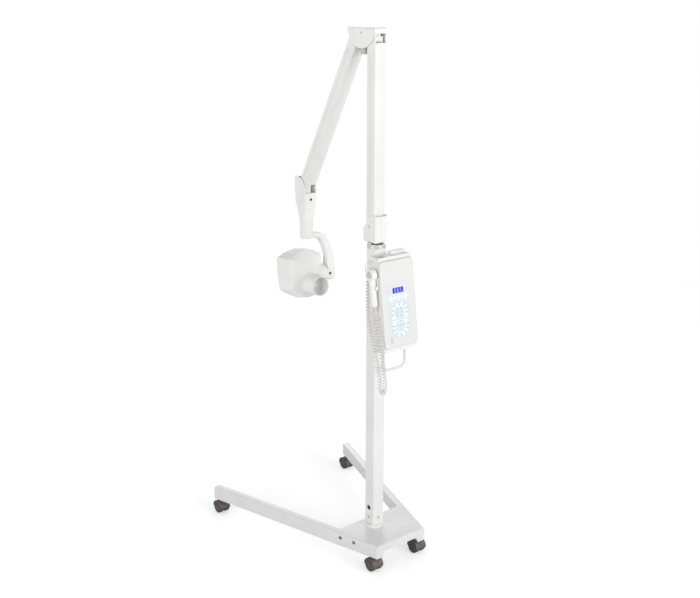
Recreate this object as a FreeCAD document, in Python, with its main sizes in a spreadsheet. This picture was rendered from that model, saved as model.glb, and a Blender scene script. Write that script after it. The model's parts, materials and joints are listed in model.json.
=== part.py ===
import FreeCAD, Part
import math
import os
import re
import Sketcher

# Mobile dental x-ray unit on a wheeled base, in millimetres.
# Row frame: x = 0 is the middle plane of the base, y = 0 the middle of its length,
# z = 0 the floor. The open side of the legs and the tube head are on the +Y side.

os.makedirs("parts", exist_ok=True)
doc = FreeCAD.newDocument("XrayUnit")
sheet = doc.addObject("Spreadsheet::Sheet", "Sizes")

SIZES = {
    # Clearances shared by every fit.
    "running_gap": 0.05,
    "press_gap": 0.02,
    "slip_gap": 0.1,
    "side_gap": 0.2,
    # Wheeled base.
    "column_shift": 16.5,
    "base_rear": 138.9,
    "rear_half_width": 116.6,
    "deck_top": 110.5,
    "deck_front": 52.4,
    "deck_plate": 6,
    "deck_depth": 40,
    "deck_flange": 5,
    "rear_notch_half": 78,
    "rear_notch": 9,
    "leg_width": 30,
    "leg_height": 52.4,
    "leg_wall": 2.5,
    "leg_angle": 16.92,
    "leg_reach": 669.6,
    "leg_round": 3,
    "leg_shoulder": 8,
    "cap_plate": 3,
    "cap_spigot": 15,
    "bolt_front": 24,
    "bolt_pitch": 62,
    "bolt_drop": 16,
    "bolt_radius": 4,
    "bolt_head": 6.5,
    "bolt_head_height": 3,
    # Casters.
    "caster_inset": 33.04,
    "caster_rear": 122,
    "caster_trail": 12,
    "wheel_radius": 25,
    "wheel_width": 18,
    "wheel_outer": 23.5,
    "axle_radius": 3,
    "web_half": 4.5,
    "web_radius": 20,
    "hood_radius": 28.5,
    "hood_wall": 2,
    "hood_half": 23.3,
    "hood_skirt": 3,
    "boss_radius": 9.5,
    "stem_radius": 5,
    "stem_collar": 5.4,
    "stem_collar_height": 0.6,
    "stem_depth": 20,
    "stem_top": 18,
    # Column.
    "column_width": 50,
    "column_wall": 2.5,
    "column_round": 3,
    "flange_radius": 33.5,
    "flange_height": 11,
    "flange_boss": 15,
    "spigot_length": 55,
    "column_top": 1207,
    "screw_height": 150,
    "screw_radius": 2.5,
    "screw_head": 4.5,
    "screw_head_height": 2.5,
    "screw_length": 11,
    "grommet_height": 190,
    "grommet_hole": 7.5,
    "grommet_bore": 5,
    "grommet_flange": 9.5,
    "grommet_lip": 1.5,
    "collar_radius": 33,
    "collar_height": 16,
    "washer_radius": 30,
    "washer_height": 5,
    # Swivel and spring arms.
    "spindle_radius": 15,
    "spindle_depth": 58,
    "spindle_rise": 20,
    "arm_offset": 7.5,
    "arm_pivot": 1284,
    "arm_length": 636,
    "arm_half_width": 23,
    "arm_half_depth": 23.5,
    "arm_wall": 2.5,
    "arm_round": 4.5,
    "arm_opening": 18,
    "web_height": 60,
    "web_plate": 4,
    "tongue_left": 18,
    "tongue_right": 8,
    "tongue_radius": 16.5,
    "neck_half": 12,
    "pivot_radius": 5,
    "pin_half": 23.6,
    "link_arm": 13,
    "link_pin": 2.5,
    "link_gap": 1,
    "link_thick": 6,
    "link_half": 3,
    "link_eye": 5,
    "rear_link_angle": 22.5,
    "front_link_angle": 47,
    "front_lean": 29.7,
    "elbow_span": 96.5,
    "spring_shift": 6,
    "spring_radius": 12,
    "spring_bore": 9,
    "spring_length": 300,
    "rod_radius": 4,
    "rod_tail": 24,
    "rod_head": 4,
    # Housings round the pivots.
    "cover_inner": 23.8,
    "cover_wall": 3.2,
    "knuckle_rear": 24,
    "knuckle_front": 37,
    "knuckle_top": 27,
    "cover_rear_top": 38,
    "cover_front_top": 19,
    "cover_end_wall": 3,
    "seam_gap": 0.1,
    "slab_low": 25,
    "slab_top": 31,
    "bracket_rear": 25,
    "bracket_front": 123.8,
    "bracket_belly": 32.4,
    "bracket_lip": 14,
    "bracket_lip_wall": 2.5,
    "cap_crown": 5,
    "stop_low": 52,
    "stop_rear": 38.5,
    "stop_front": 64.5,
    "stop_half": 17.5,
    # Wrist housing and yoke.
    "wrist_rear": 25,
    "wrist_front": 42,
    "wrist_block_top": 28.6,
    "wrist_block_low": 75,
    "wrist_taper_low": 152.6,
    "wrist_bottom": 160.6,
    "wrist_cheek_top": 34.4,
    "wrist_round": 5,
    "wrist_end_wall": 3,
    "wrist_screw_drop": 52.6,
    "wrist_screw_hole": 5.5,
    "hub_radius": 25.5,
    "hub_height": 47,
    "yoke_spindle": 10,
    "yoke_spindle_rise": 80,
    "head_drop": 357.6,
    "yoke_rise": 197,
    "boss_inner": 88,
    "boss_outer": 128,
    "boss_half_depth": 20,
    "boss_half_height": 33,
    "boss_round": 13,
    "trunnion_radius": 10,
    "trunnion_flange": 16,
    "trunnion_root": 60,
    "set_screw_x": 98,
    "set_screw_hole": 6,
    "set_screw_depth": 8,
    # Tube head, in the frame of its tilt pivot.
    "beam_tilt": 4,
    "head_half_width": 84,
    "head_wall": 3,
    "head_seam": -27,
    "head_step": 2.5,
    "head_front": 22,
    "head_back": 95,
    "cone_radius": 40,
    "cone_bore": 37.5,
    "cone_mouth": 91,
    "cone_root": 12,
    "cone_drop": 30,
    "cone_stop_bore": 27,
    "cone_stop_plate": 4,
    "cone_stop_depth": 57,
    "tank_radius": 40,
    "tank_back": 35,
    "tank_rise": 6,
    # Control box.
    "box_centre": 22,
    "box_half_width": 74,
    "box_rear": 31,
    "box_low": 846,
    "box_low_front": 850,
    "box_top": 1188,
    "box_wall": 3,
    "box_slope": 7.33,
    "box_lip": 9,
    "panel_low_y": 125,
    "panel_low_z": 866,
    "panel_height": 313.6,
    "panel_half_width": 76.5,
    "panel_thick": 10,
    "panel_round": 14,
    "panel_edge": 3.5,
    "hump_left": 3,
    "hump_height": 9,
    "hump_depth": 20,
    "recess_x": -28,
    "recess_y": 53,
    "recess_radius": 17,
    "recess_depth": 24,
    "bracket_half": 24,
    "box_bracket_low": 900,
    "box_bracket_height": 240,
    "keypad_left": 56,
    "keypad_right": 44,
    "keypad_low": 16,
    "keypad_high": 228,
    "keypad_recess": 1,
    "keypad_thick": 0.8,
    "display_left": 28,
    "display_right": 21,
    "display_low": 195.6,
    "display_high": 214.8,
    "switch_y": 66,
    "switch_z": 900,
    "switch_half_height": 14,
    "switch_half_depth": 7,
    "switch_length": 16,
    "switch_travel": 1.5,
    "switch_rim": 1.5,
    "handle_radius": 5.25,
    "handle_half": 50,
    "handle_y": 80,
    "handle_low": 770,
    "handle_top": 862,
    "handle_bend": 20,
    "handle_boss": 10,
    # Exposure handset and its cord.
    "handset_x": 67.6,
    "handset_y": 59,
    "handset_z": 1131,
    "handset_lean": 8.6,
    "handset_head": 21.5,
    "handset_head_left": 12.5,
    "handset_head_right": 7,
    "handset_grip": 11.5,
    "handset_length": 112,
    "relief_root": 6,
    "relief_tip": 5,
    "relief_length": 23,
    "button_radius": 12,
    "button_thick": 4,
    "button_recess": 6,
    "button_proud": 1,
    "holder_plate": 4,
    "holder_half": 15,
    "holder_low": 1078,
    "holder_high": 1122,
    "holder_arm": 12,
    "gland_y": 38,
    "gland_z": 1171,
    "gland_radius": 6,
    "gland_length": 9,
    "lead_radius": 1.7,
    "coil_radius": 6.5,
}

row = 0
for alias, number in SIZES.items():
    row += 1
    sheet.set("A%d" % row, alias)
    sheet.set("B%d" % row, str(number))
    sheet.setAlias("B%d" % row, alias)

probe = doc.addObject("App::FeaturePython", "Probe")
probe.addProperty("App::PropertyFloat", "Reading")
doc.recompute()

COLUMN_X = "-column_shift"
CASTER_FRONT = "((leg_reach - caster_inset) * cos(leg_angle))"
ROW_Y = "(base_rear - " + CASTER_FRONT + " - caster_trail - hood_radius) / 2"
LEG_ROOT = "rear_half_width - leg_width / 2 / cos(leg_angle) + base_rear * tan(leg_angle)"
LEG_LOW = "deck_top - leg_height"
WRIST_Y = "arm_offset + elbow_span + arm_length * sin(front_lean)"
WRIST_Z = "arm_pivot + arm_length - arm_length * cos(front_lean)"
HEAD_Y = WRIST_Y + " + arm_offset"
HEAD_Z = WRIST_Z + " - head_drop"

finished = []


def formula(text):
    """Point each named size in a formula at the sheet."""
    return re.sub(r"\b([a-z]+(?:_[a-z]+)+)\b", r"Sizes.\1", text)


def reading(text):
    """Give the number a formula stands for."""
    probe.setExpression("Reading", formula(text))
    probe.recompute()
    return probe.Reading


def number(name):
    """Give one size from the sheet."""
    return float(sheet.get(name))


def vector(x, y, z):
    """Give a point whose coordinates are formulas."""
    return FreeCAD.Vector(reading(x), reading(y), reading(z))


def bind_place(piece, x, y, z):
    """Tie a piece's position to formulas."""
    piece.setExpression("Placement.Base.x", formula(x))
    piece.setExpression("Placement.Base.y", formula(y))
    piece.setExpression("Placement.Base.z", formula(z))


def new_body(name, x="0", y="0", z="0", turn_axis=None, turn="0"):
    """Start a body at a bound position, turned by a bound angle about one axis."""
    body = doc.addObject("PartDesign::Body", name)
    if turn_axis is not None:
        angle = reading(turn)
        body.Placement = FreeCAD.Placement(FreeCAD.Vector(), FreeCAD.Rotation(turn_axis, angle))
        sign = 1 if body.Placement.Rotation.Axis.dot(turn_axis) > 0 else -1
        body.setExpression("Placement.Rotation.Angle", formula("%d * (%s)" % (sign, turn)))
    bind_place(body, x, y, z)
    return body


def column_body(name, y="0", z="0", x="0"):
    """Start a body placed from the foot of the column's axis."""
    return new_body(name, COLUMN_X + " + " + x, ROW_Y + " + " + y, z)


PLANES = {"XY": 3, "XZ": 4, "YZ": 5}


def new_sketch(body, plane, low):
    """Start a sketch on one of the body's own planes, moved out to a bound level."""
    sketch = body.newObject("Sketcher::SketchObject", body.Name + "_outline")
    sketch.AttachmentSupport = [(body.Origin.OriginFeatures[PLANES[plane]], "")]
    sketch.MapMode = "FlatFace"
    level = "-(%s)" % low if plane == "XZ" else low
    sketch.setExpression("AttachmentOffset.Base.z", formula(level))
    return sketch


def hold(sketch, kind, place, across, text):
    """Hold one coordinate of a sketch point at a formula."""
    index = sketch.addConstraint(Sketcher.Constraint(kind, -1, 1, place[0], place[1], across))
    label = "%s_%d" % (kind.lower(), index)
    sketch.renameConstraint(index, label)
    sketch.setExpression("Constraints." + label, formula(text))


def draw_polygon(sketch, corners):
    """Draw a closed outline through corners given as formulas."""
    points = [FreeCAD.Vector(reading(u), reading(v), 0) for u, v in corners]
    count = len(points)
    for i in range(count):
        sketch.addGeometry(Part.LineSegment(points[i], points[(i + 1) % count]))
    for i in range(count):
        sketch.addConstraint(Sketcher.Constraint("Coincident", i, 2, (i + 1) % count, 1))
    for i in range(count):
        hold(sketch, "DistanceX", (i, 1), points[i].x, corners[i][0])
        hold(sketch, "DistanceY", (i, 1), points[i].y, corners[i][1])


def draw_circle(sketch, centre, radius):
    """Draw a circle with its centre and radius held by formulas."""
    middle = FreeCAD.Vector(reading(centre[0]), reading(centre[1]), 0)
    size = reading(radius)
    sketch.addGeometry(Part.Circle(middle, FreeCAD.Vector(0, 0, 1), size))
    hold(sketch, "DistanceX", (0, 3), middle.x, centre[0])
    hold(sketch, "DistanceY", (0, 3), middle.y, centre[1])
    index = sketch.addConstraint(Sketcher.Constraint("Radius", 0, size))
    sketch.renameConstraint(index, "radius")
    sketch.setExpression("Constraints.radius", formula(radius))


def extrude(body, sketch, plane, depth, cutting):
    """Add or remove material from the sketch's level towards the plus side of its plane."""
    kind = "PartDesign::Pocket" if cutting else "PartDesign::Pad"
    before = body.Shape.Volume if cutting else 0
    feature = body.newObject(kind, body.Name + "_step")
    feature.Profile = sketch
    feature.setExpression("Length", formula(depth))
    feature.Reversed = (plane == "XZ") != cutting
    doc.recompute()
    if cutting and body.Shape.Volume > before - 0.01:
        raise RuntimeError("%s: a cut removed nothing" % body.Name)


def add_polygon(body, plane, corners, low, depth):
    """Add a slab with a polygon outline."""
    sketch = new_sketch(body, plane, low)
    draw_polygon(sketch, corners)
    extrude(body, sketch, plane, depth, False)


def cut_polygon(body, plane, corners, low, depth):
    """Remove a slab with a polygon outline."""
    sketch = new_sketch(body, plane, low)
    draw_polygon(sketch, corners)
    extrude(body, sketch, plane, depth, True)


def add_disc(body, plane, centre, radius, low, depth):
    """Add a round slab."""
    sketch = new_sketch(body, plane, low)
    draw_circle(sketch, centre, radius)
    extrude(body, sketch, plane, depth, False)


def cut_disc(body, plane, centre, radius, low, depth):
    """Remove a round slab."""
    sketch = new_sketch(body, plane, low)
    draw_circle(sketch, centre, radius)
    extrude(body, sketch, plane, depth, True)


def rectangle(u_low, v_low, u_high, v_high):
    """Give the four corners of a rectangle as formulas."""
    return [(u_low, v_low), (u_high, v_low), (u_high, v_high), (u_low, v_high)]


def add_block(body, plane, u_low, v_low, u_high, v_high, low, depth):
    """Add a rectangular block."""
    add_polygon(body, plane, rectangle(u_low, v_low, u_high, v_high), low, depth)


def cut_block(body, plane, u_low, v_low, u_high, v_high, low, depth):
    """Remove a rectangular block."""
    cut_polygon(body, plane, rectangle(u_low, v_low, u_high, v_high), low, depth)


def round_edges(body, radius, wanted):
    """Round the edges of the body's last shape that a test picks."""
    tip = body.Tip
    names = []
    for i, edge in enumerate(tip.Shape.Edges):
        if wanted(edge):
            names.append("Edge%d" % (i + 1))
    fillet = body.newObject("PartDesign::Fillet", body.Name + "_round")
    fillet.Base = (tip, names)
    fillet.setExpression("Radius", formula(radius))
    doc.recompute()


def runs_along(edge, axis):
    """Tell whether a straight edge runs along an axis of the body."""
    if not isinstance(edge.Curve, Part.Line):
        return False
    return abs(edge.tangentAt(edge.FirstParameter).dot(axis)) > 0.999


X_AXIS = FreeCAD.Vector(1, 0, 0)
Y_AXIS = FreeCAD.Vector(0, 1, 0)
Z_AXIS = FreeCAD.Vector(0, 0, 1)


def finish(piece, label, solids=1):
    """Name a finished sub-part and note how many solids it has."""
    piece.Label = label
    finished.append((piece, label, solids))


def finish_group(label, pieces):
    """Join like pieces into one node of separate solids."""
    group = doc.addObject("Part::Compound", label + "_group")
    group.Links = pieces
    doc.recompute()
    finish(group, label, len(pieces))


def cut_away(name, base, tools):
    """Remove tool pieces from a base piece."""
    cutter = doc.addObject("Part::Compound", name + "_tools")
    cutter.Links = tools
    result = doc.addObject("Part::Cut", name + "_cut")
    result.Base = base
    result.Tool = cutter
    doc.recompute()
    return result


def leg_frame(name, side):
    """Start a body in the frame of one leg, with Y along the leg."""
    x = "%d * (%s)" % (side, LEG_ROOT)
    return new_body(name, x, ROW_Y, "0", Z_AXIS, "%d * leg_angle" % -side)


def leg_outline(side, inset, start, end):
    """Give a leg's plan outline; the rear end is cut square to the base."""
    outer = "%d * (leg_width / 2 - %s)" % (side, inset)
    inner = "-" + outer
    near = "(%s + (leg_width / 2 - %s) * sin(leg_angle)) / cos(leg_angle)" % (start, inset)
    far = "(%s - (leg_width / 2 - %s) * sin(leg_angle)) / cos(leg_angle)" % (start, inset)
    return [(outer, near), (outer, end), (inner, end), (inner, far)]


def bolt_levels():
    """Give the two bolt places along a leg."""
    return ["bolt_front", "bolt_front - bolt_pitch"]


def round_leg(body, side):
    """Round a leg's lower edges and, more widely, its outer top edge."""
    middle = number("deck_top") - number("leg_height") / 2
    round_edges(body, "leg_round", lambda e: runs_along(e, Y_AXIS) and e.CenterOfMass.z < middle)
    round_edges(body, "leg_shoulder", lambda e: runs_along(e, Y_AXIS)
                and e.CenterOfMass.z > number("deck_top") - 1 and side * e.CenterOfMass.x > 0)


def make_legs():
    """Make the two spread box-section legs."""
    for side, word in ((1, "right"), (-1, "left")):
        leg = leg_frame("leg_" + word + "_body", side)
        end = "leg_reach - cap_plate"
        add_polygon(leg, "XY", leg_outline(side, "0", "-base_rear", end), LEG_LOW, "leg_height")
        round_leg(leg, side)
        cut_block(leg, "XZ", "-leg_width / 2 + leg_wall", LEG_LOW + " + leg_wall",
                  "leg_width / 2 - leg_wall", "deck_top - leg_shoulder",
                  "-base_rear + leg_wall", "leg_reach + base_rear - leg_wall")
        for place in (CASTER_FRONT, "-caster_rear"):
            cut_disc(leg, "XY", ("0", place + " / cos(leg_angle)"), "stem_radius + press_gap",
                     LEG_LOW + " - 1", "leg_wall + 2")
        for level in bolt_levels():
            cut_disc(leg, "YZ", (level, "deck_top - bolt_drop"), "bolt_radius + slip_gap",
                     "-leg_width", "2 * leg_width")
        finish(leg, "leg_" + word)


def make_leg_caps():
    """Make the plugs in the open front ends of the legs."""
    caps = []
    for side, word in ((1, "right"), (-1, "left")):
        cap = leg_frame("leg_cap_" + word, side)
        add_block(cap, "XZ", "-leg_width / 2", LEG_LOW, "leg_width / 2", "deck_top",
                  "leg_reach - cap_plate", "cap_plate")
        round_leg(cap, side)
        add_block(cap, "XZ", "-leg_width / 2 + leg_wall + slip_gap",
                  LEG_LOW + " + leg_wall + slip_gap",
                  "leg_width / 2 - leg_wall - slip_gap", "deck_top - leg_shoulder - slip_gap",
                  "leg_reach - cap_plate - cap_spigot", "cap_spigot")
        caps.append(cap)
    finish_group("leg_caps", caps)


def make_bolts():
    """Make the bolts through the legs and the rods that cut their holes in the deck."""
    bolts = []
    holes = []
    for side, word in ((1, "right"), (-1, "left")):
        for count, level in enumerate(bolt_levels()):
            centre = (level, "deck_top - bolt_drop")
            start = "leg_width / 2" if side > 0 else "-leg_width / 2 - bolt_head_height"
            bolt = leg_frame("leg_bolt_%s_%d" % (word, count), side)
            add_disc(bolt, "YZ", centre, "bolt_head", start, "bolt_head_height")
            low = "-leg_width / 2 - deck_flange - 3" if side > 0 else "-leg_width / 2"
            add_disc(bolt, "YZ", centre, "bolt_radius", low, "leg_width + deck_flange + 3")
            bolts.append(bolt)
            hole = leg_frame("leg_bolt_hole_%s_%d" % (word, count), side)
            add_disc(hole, "YZ", centre, "bolt_radius + slip_gap", "-2 * leg_width",
                     "4 * leg_width")
            holes.append(hole)
    finish_group("leg_bolts", bolts)
    return holes


def deck_edge(side, y, inset):
    """Give a corner of the deck where it meets a leg's inner face."""
    x = "%d * (%s - (leg_width / 2 + %s) / cos(leg_angle) + (%s) * tan(leg_angle))" % (
        side, LEG_ROOT, inset, y)
    return (x, y)


def make_deck(holes):
    """Make the deck between the legs: a folded tray, open below, with a hole for the column."""
    deck = new_body("base_deck_body", "0", ROW_Y, "0")
    outer = [deck_edge(-1, "-base_rear", "0"), deck_edge(1, "-base_rear", "0"),
             deck_edge(1, "deck_front", "0"), deck_edge(-1, "deck_front", "0")]
    add_polygon(deck, "XY", outer, "deck_top - deck_depth", "deck_depth")
    rear = "-base_rear + deck_flange"
    front = "deck_front - deck_flange"
    inner = [deck_edge(-1, rear, "deck_flange"), deck_edge(1, rear, "deck_flange"),
             deck_edge(1, front, "deck_flange"), deck_edge(-1, front, "deck_flange")]
    cut_polygon(deck, "XY", inner, "deck_top - deck_depth", "deck_depth - deck_plate")
    cut_block(deck, "XZ", "-rear_notch_half", "deck_top - deck_depth - 1", "rear_notch_half",
              "deck_top - deck_depth + rear_notch", "-base_rear - 1", "deck_flange + 1.5")
    cut_disc(deck, "XY", (COLUMN_X, "0"), "flange_boss + slip_gap", "deck_top - deck_plate",
             "deck_plate")
    finish(cut_away("base_deck", deck, holes), "base_deck")


def stem_x(side, place):
    """Give where a caster's stem stands across the base."""
    return "%d * (%s + (%s) * tan(leg_angle))" % (side, LEG_ROOT, place)


def caster_body(name, side, place):
    """Start a body at the foot of a caster's stem."""
    return new_body(name, stem_x(side, place), ROW_Y + " + " + place, "0")


def make_hood(name, side, place):
    """Make a caster's hood: a web between the wheels, a curved guard and a swivel boss."""
    hood = caster_body(name + "_body", side, place)
    axle = ("caster_trail", "wheel_radius")
    add_disc(hood, "YZ", axle, "hood_radius", "-hood_half", "2 * hood_half")
    cut_disc(hood, "YZ", axle, "hood_radius - hood_wall", "-hood_half", "2 * hood_half")
    cut_block(hood, "YZ", "caster_trail - 2 * hood_radius", "-hood_radius",
              "caster_trail + 2 * hood_radius", "wheel_radius - hood_skirt",
              "-hood_half - 1", "2 * hood_half + 2")
    add_disc(hood, "YZ", axle, "web_radius", "-web_half", "2 * web_half")
    add_block(hood, "YZ", "caster_trail - hood_radius + hood_wall", "wheel_radius",
              "caster_trail + hood_radius - hood_wall", "wheel_radius + web_radius - web_half",
              "-web_half", "2 * web_half")
    add_disc(hood, "XY", ("0", "0"), "boss_radius",
             LEG_LOW + " - stem_collar_height - stem_depth - 2", "stem_depth + 2 - running_gap")
    cut_disc(hood, "XY", ("0", "0"), "stem_radius + running_gap",
             LEG_LOW + " - stem_collar_height - stem_depth", "2 * stem_depth")
    cut_disc(hood, "YZ", axle, "axle_radius + running_gap", "-boss_radius", "2 * boss_radius")
    cut_disc(hood, "YZ", axle, "wheel_radius + 0.8", "web_half + 0.001", "wheel_width + 1")
    cut_disc(hood, "YZ", axle, "wheel_radius + 0.8", "-web_half - wheel_width - 1.001",
             "wheel_width + 1")
    finish(hood, name)


def make_wheels(name, side, place):
    """Make a caster's pair of wheels with the axle that joins them."""
    wheels = caster_body(name + "_body", side, place)
    axle = ("caster_trail", "wheel_radius")
    add_disc(wheels, "YZ", axle, "axle_radius", "-wheel_outer + 1", "2 * wheel_outer - 2")
    add_disc(wheels, "YZ", axle, "wheel_radius", "wheel_outer - wheel_width", "wheel_width")
    add_disc(wheels, "YZ", axle, "wheel_radius", "-wheel_outer", "wheel_width")
    round_edges(wheels, "leg_round", lambda e: abs(e.Length - 2 * math.pi * number("wheel_radius"))
                < 0.1 and isinstance(e.Curve, Part.Circle))
    finish(wheels, name)


def make_casters():
    """Make the four swivelling twin-wheel casters and their fixed stems."""
    stems = []
    for place, end in ((CASTER_FRONT, "front"), ("-caster_rear", "rear")):
        for side, word in ((1, "right"), (-1, "left")):
            name = end + "_" + word
            stem = caster_body("stem_" + name, side, place)
            low = LEG_LOW + " - stem_collar_height"
            add_disc(stem, "XY", ("0", "0"), "stem_collar", low, "stem_collar_height")
            add_disc(stem, "XY", ("0", "0"), "stem_radius", low + " - stem_depth + 1",
                     "stem_depth - 1 + stem_collar_height + stem_top")
            stems.append(stem)
            make_hood("caster_hood_" + name, side, place)
            make_wheels("caster_wheels_" + name, side, place)
    finish_group("caster_stems", stems)


def add_square(body, half, low, depth):
    """Add a square block about the body's Z axis."""
    add_block(body, "XY", "-(%s)" % half, "-(%s)" % half, half, half, low, depth)


def face_screws(extra, head):
    """Make a rod on each face of the column's foot; a head is added where wanted."""
    screws = []
    for sign in (1, -1):
        for plane in ("YZ", "XZ"):
            body = column_body("foot_screw_%s_%s" % (plane, "near" if sign > 0 else "far"))
            start = "column_width / 2 - screw_length"
            if sign < 0:
                start = "-column_width / 2"
            add_disc(body, plane, ("0", "screw_height"), "screw_radius" + extra, start,
                     "screw_length")
            if head:
                face = "column_width / 2"
                if sign < 0:
                    face = "-column_width / 2 - screw_head_height"
                add_disc(body, plane, ("0", "screw_height"), "screw_head", face,
                         "screw_head_height")
            screws.append(body)
    return screws


def make_column():
    """Make the column with its foot flange, screws and cable grommet."""
    foot_top = "deck_top + flange_height"
    flange = column_body("column_flange_body")
    add_disc(flange, "XY", ("0", "0"), "flange_radius", "deck_top", "flange_height")
    add_square(flange, "column_width / 2 - column_wall - slip_gap", foot_top, "spigot_length")
    add_disc(flange, "XY", ("0", "0"), "flange_boss", "deck_top - deck_plate", "deck_plate")
    finish(cut_away("column_flange", flange, face_screws(" + press_gap", False)), "column_flange")
    tube = column_body("column_tube_body")
    add_square(tube, "column_width / 2", foot_top, "column_top - deck_top - flange_height")
    round_edges(tube, "column_round", lambda e: runs_along(e, Z_AXIS))
    inner = "column_width / 2 - column_wall"
    cut_block(tube, "XY", "-(%s)" % inner, "-(%s)" % inner, inner, inner, foot_top,
              "column_top - deck_top - flange_height")
    for plane in ("YZ", "XZ"):
        cut_disc(tube, plane, ("0", "screw_height"), "screw_radius + slip_gap",
                 "-column_width", "2 * column_width")
    cut_disc(tube, "YZ", ("0", "grommet_height"), "grommet_hole", "-column_width", "column_width")
    finish(tube, "column_tube")
    finish_group("column_screws", face_screws("", True))
    grommet = column_body("cable_grommet_body")
    add_disc(grommet, "YZ", ("0", "grommet_height"), "grommet_flange",
             "-column_width / 2 - grommet_lip", "grommet_lip")
    add_disc(grommet, "YZ", ("0", "grommet_height"), "grommet_hole - press_gap",
             "-column_width / 2", "column_wall")
    cut_disc(grommet, "YZ", ("0", "grommet_height"), "grommet_bore",
             "-column_width / 2 - grommet_lip", "column_wall + grommet_lip")
    finish(grommet, "cable_grommet")


def make_swivel():
    """Make the collar on top of the column, its washer and the spindle that turns in it."""
    collar = column_body("column_collar_body")
    add_disc(collar, "XY", ("0", "0"), "collar_radius", "column_top", "collar_height")
    add_square(collar, "column_width / 2 - column_wall - slip_gap", "column_top - spigot_length",
               "spigot_length")
    cut_disc(collar, "XY", ("0", "0"), "spindle_radius + running_gap",
             "column_top - spigot_length", "spigot_length + collar_height")
    finish(collar, "column_collar")
    top = "column_top + collar_height"
    washer = column_body("swivel_washer_body")
    add_disc(washer, "XY", ("0", "0"), "washer_radius", top, "washer_height")
    cut_disc(washer, "XY", ("0", "0"), "spindle_radius + slip_gap", top, "washer_height")
    finish(washer, "swivel_washer")
    spindle = column_body("swivel_spindle_body")
    add_disc(spindle, "XY", ("0", "0"), "spindle_radius", "column_top + collar_height - spindle_depth",
             "spindle_depth + washer_height + spindle_rise")
    finish(spindle, "swivel_spindle")


def add_tongue(body, y, reach, link_y, link_z):
    """Add the tongue an arm pivots on: a neck, a round eye, a pin hole and a link pin."""
    low, high = reach
    add_block(body, "YZ", y + " - neck_half", low, y + " + neck_half", high,
              "-tongue_left", "tongue_left + tongue_right")
    add_disc(body, "YZ", (y, "0"), "tongue_radius", "-tongue_left", "tongue_left + tongue_right")
    cut_disc(body, "YZ", (y, "0"), "pivot_radius + press_gap", "-tongue_left",
             "tongue_left + tongue_right")
    add_disc(body, "YZ", (y + " + " + link_y, link_z), "link_pin", "tongue_right",
             "link_gap + link_thick + 0.5")


REAR_LINK = ("-link_arm * cos(rear_link_angle)", "link_arm * sin(rear_link_angle)")
FRONT_LINK = ("link_arm * cos(front_link_angle)", "link_arm * sin(front_link_angle)")


def make_lower_knuckle():
    """Make the turning block on the column and its pivot pin."""
    knuckle = column_body("lower_knuckle_body", "arm_offset", "arm_pivot")
    floor = "column_top + collar_height + washer_height - arm_pivot"
    add_block(knuckle, "XY", "-cover_inner", "-knuckle_rear - arm_offset", "cover_inner",
              "knuckle_front - arm_offset", floor, "-knuckle_top - (%s)" % floor)
    cut_disc(knuckle, "XY", ("0", "-arm_offset"), "spindle_radius + press_gap", floor,
             "spindle_rise")
    add_tongue(knuckle, "0", ("-knuckle_top", "0"), REAR_LINK[0], REAR_LINK[1])
    finish(knuckle, "lower_knuckle")
    pin = column_body("lower_pivot_pin_body", "arm_offset", "arm_pivot")
    add_disc(pin, "YZ", ("0", "0"), "pivot_radius", "-pin_half", "2 * pin_half")
    finish(pin, "lower_pivot_pin")


def make_lower_covers():
    """Make the two halves of the cover round the lower pivot."""
    floor = "column_top + collar_height + washer_height"
    rear = "-knuckle_rear - cover_end_wall"
    front = "knuckle_front + cover_end_wall"
    top = "arm_pivot + cover_rear_top"
    cheek = [(rear, floor), (front, floor), (front, "arm_pivot - 14"), ("38", "arm_pivot - 6"),
             ("29", "arm_pivot + 5"), ("19", "arm_pivot + 20"), ("5", "arm_pivot + 34"),
             ("-12", "arm_pivot + 42"), (rear, "arm_pivot + 42")]
    for side, word in ((1, "right"), (-1, "left")):
        cover = column_body("lower_cover_%s_body" % word)
        low = "cover_inner" if side > 0 else "-cover_inner - cover_wall"
        add_polygon(cover, "YZ", cheek, low, "cover_wall")
        near = "%d * seam_gap" % side
        far = "%d * cover_inner" % side
        add_block(cover, "XY", near, rear, far, "-knuckle_rear", floor, top + " - (%s)" % floor)
        add_block(cover, "XY", near, "knuckle_front", far, front, floor,
                  "arm_pivot - cover_front_top - (%s)" % floor)
        finish(cover, "lower_cover_" + word)


def arm_body(name, which, offset=("0", "0")):
    """Start a body in the frame of an arm, with Z from its lower to its upper pivot."""
    if which == "rear":
        return new_body(name, COLUMN_X, ROW_Y + " + arm_offset + " + offset[0],
                        "arm_pivot + " + offset[1])
    return new_body(name, COLUMN_X, ROW_Y + " + " + WRIST_Y + " + " + offset[0],
                    WRIST_Z + " + " + offset[1], X_AXIS, "front_lean")


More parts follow.
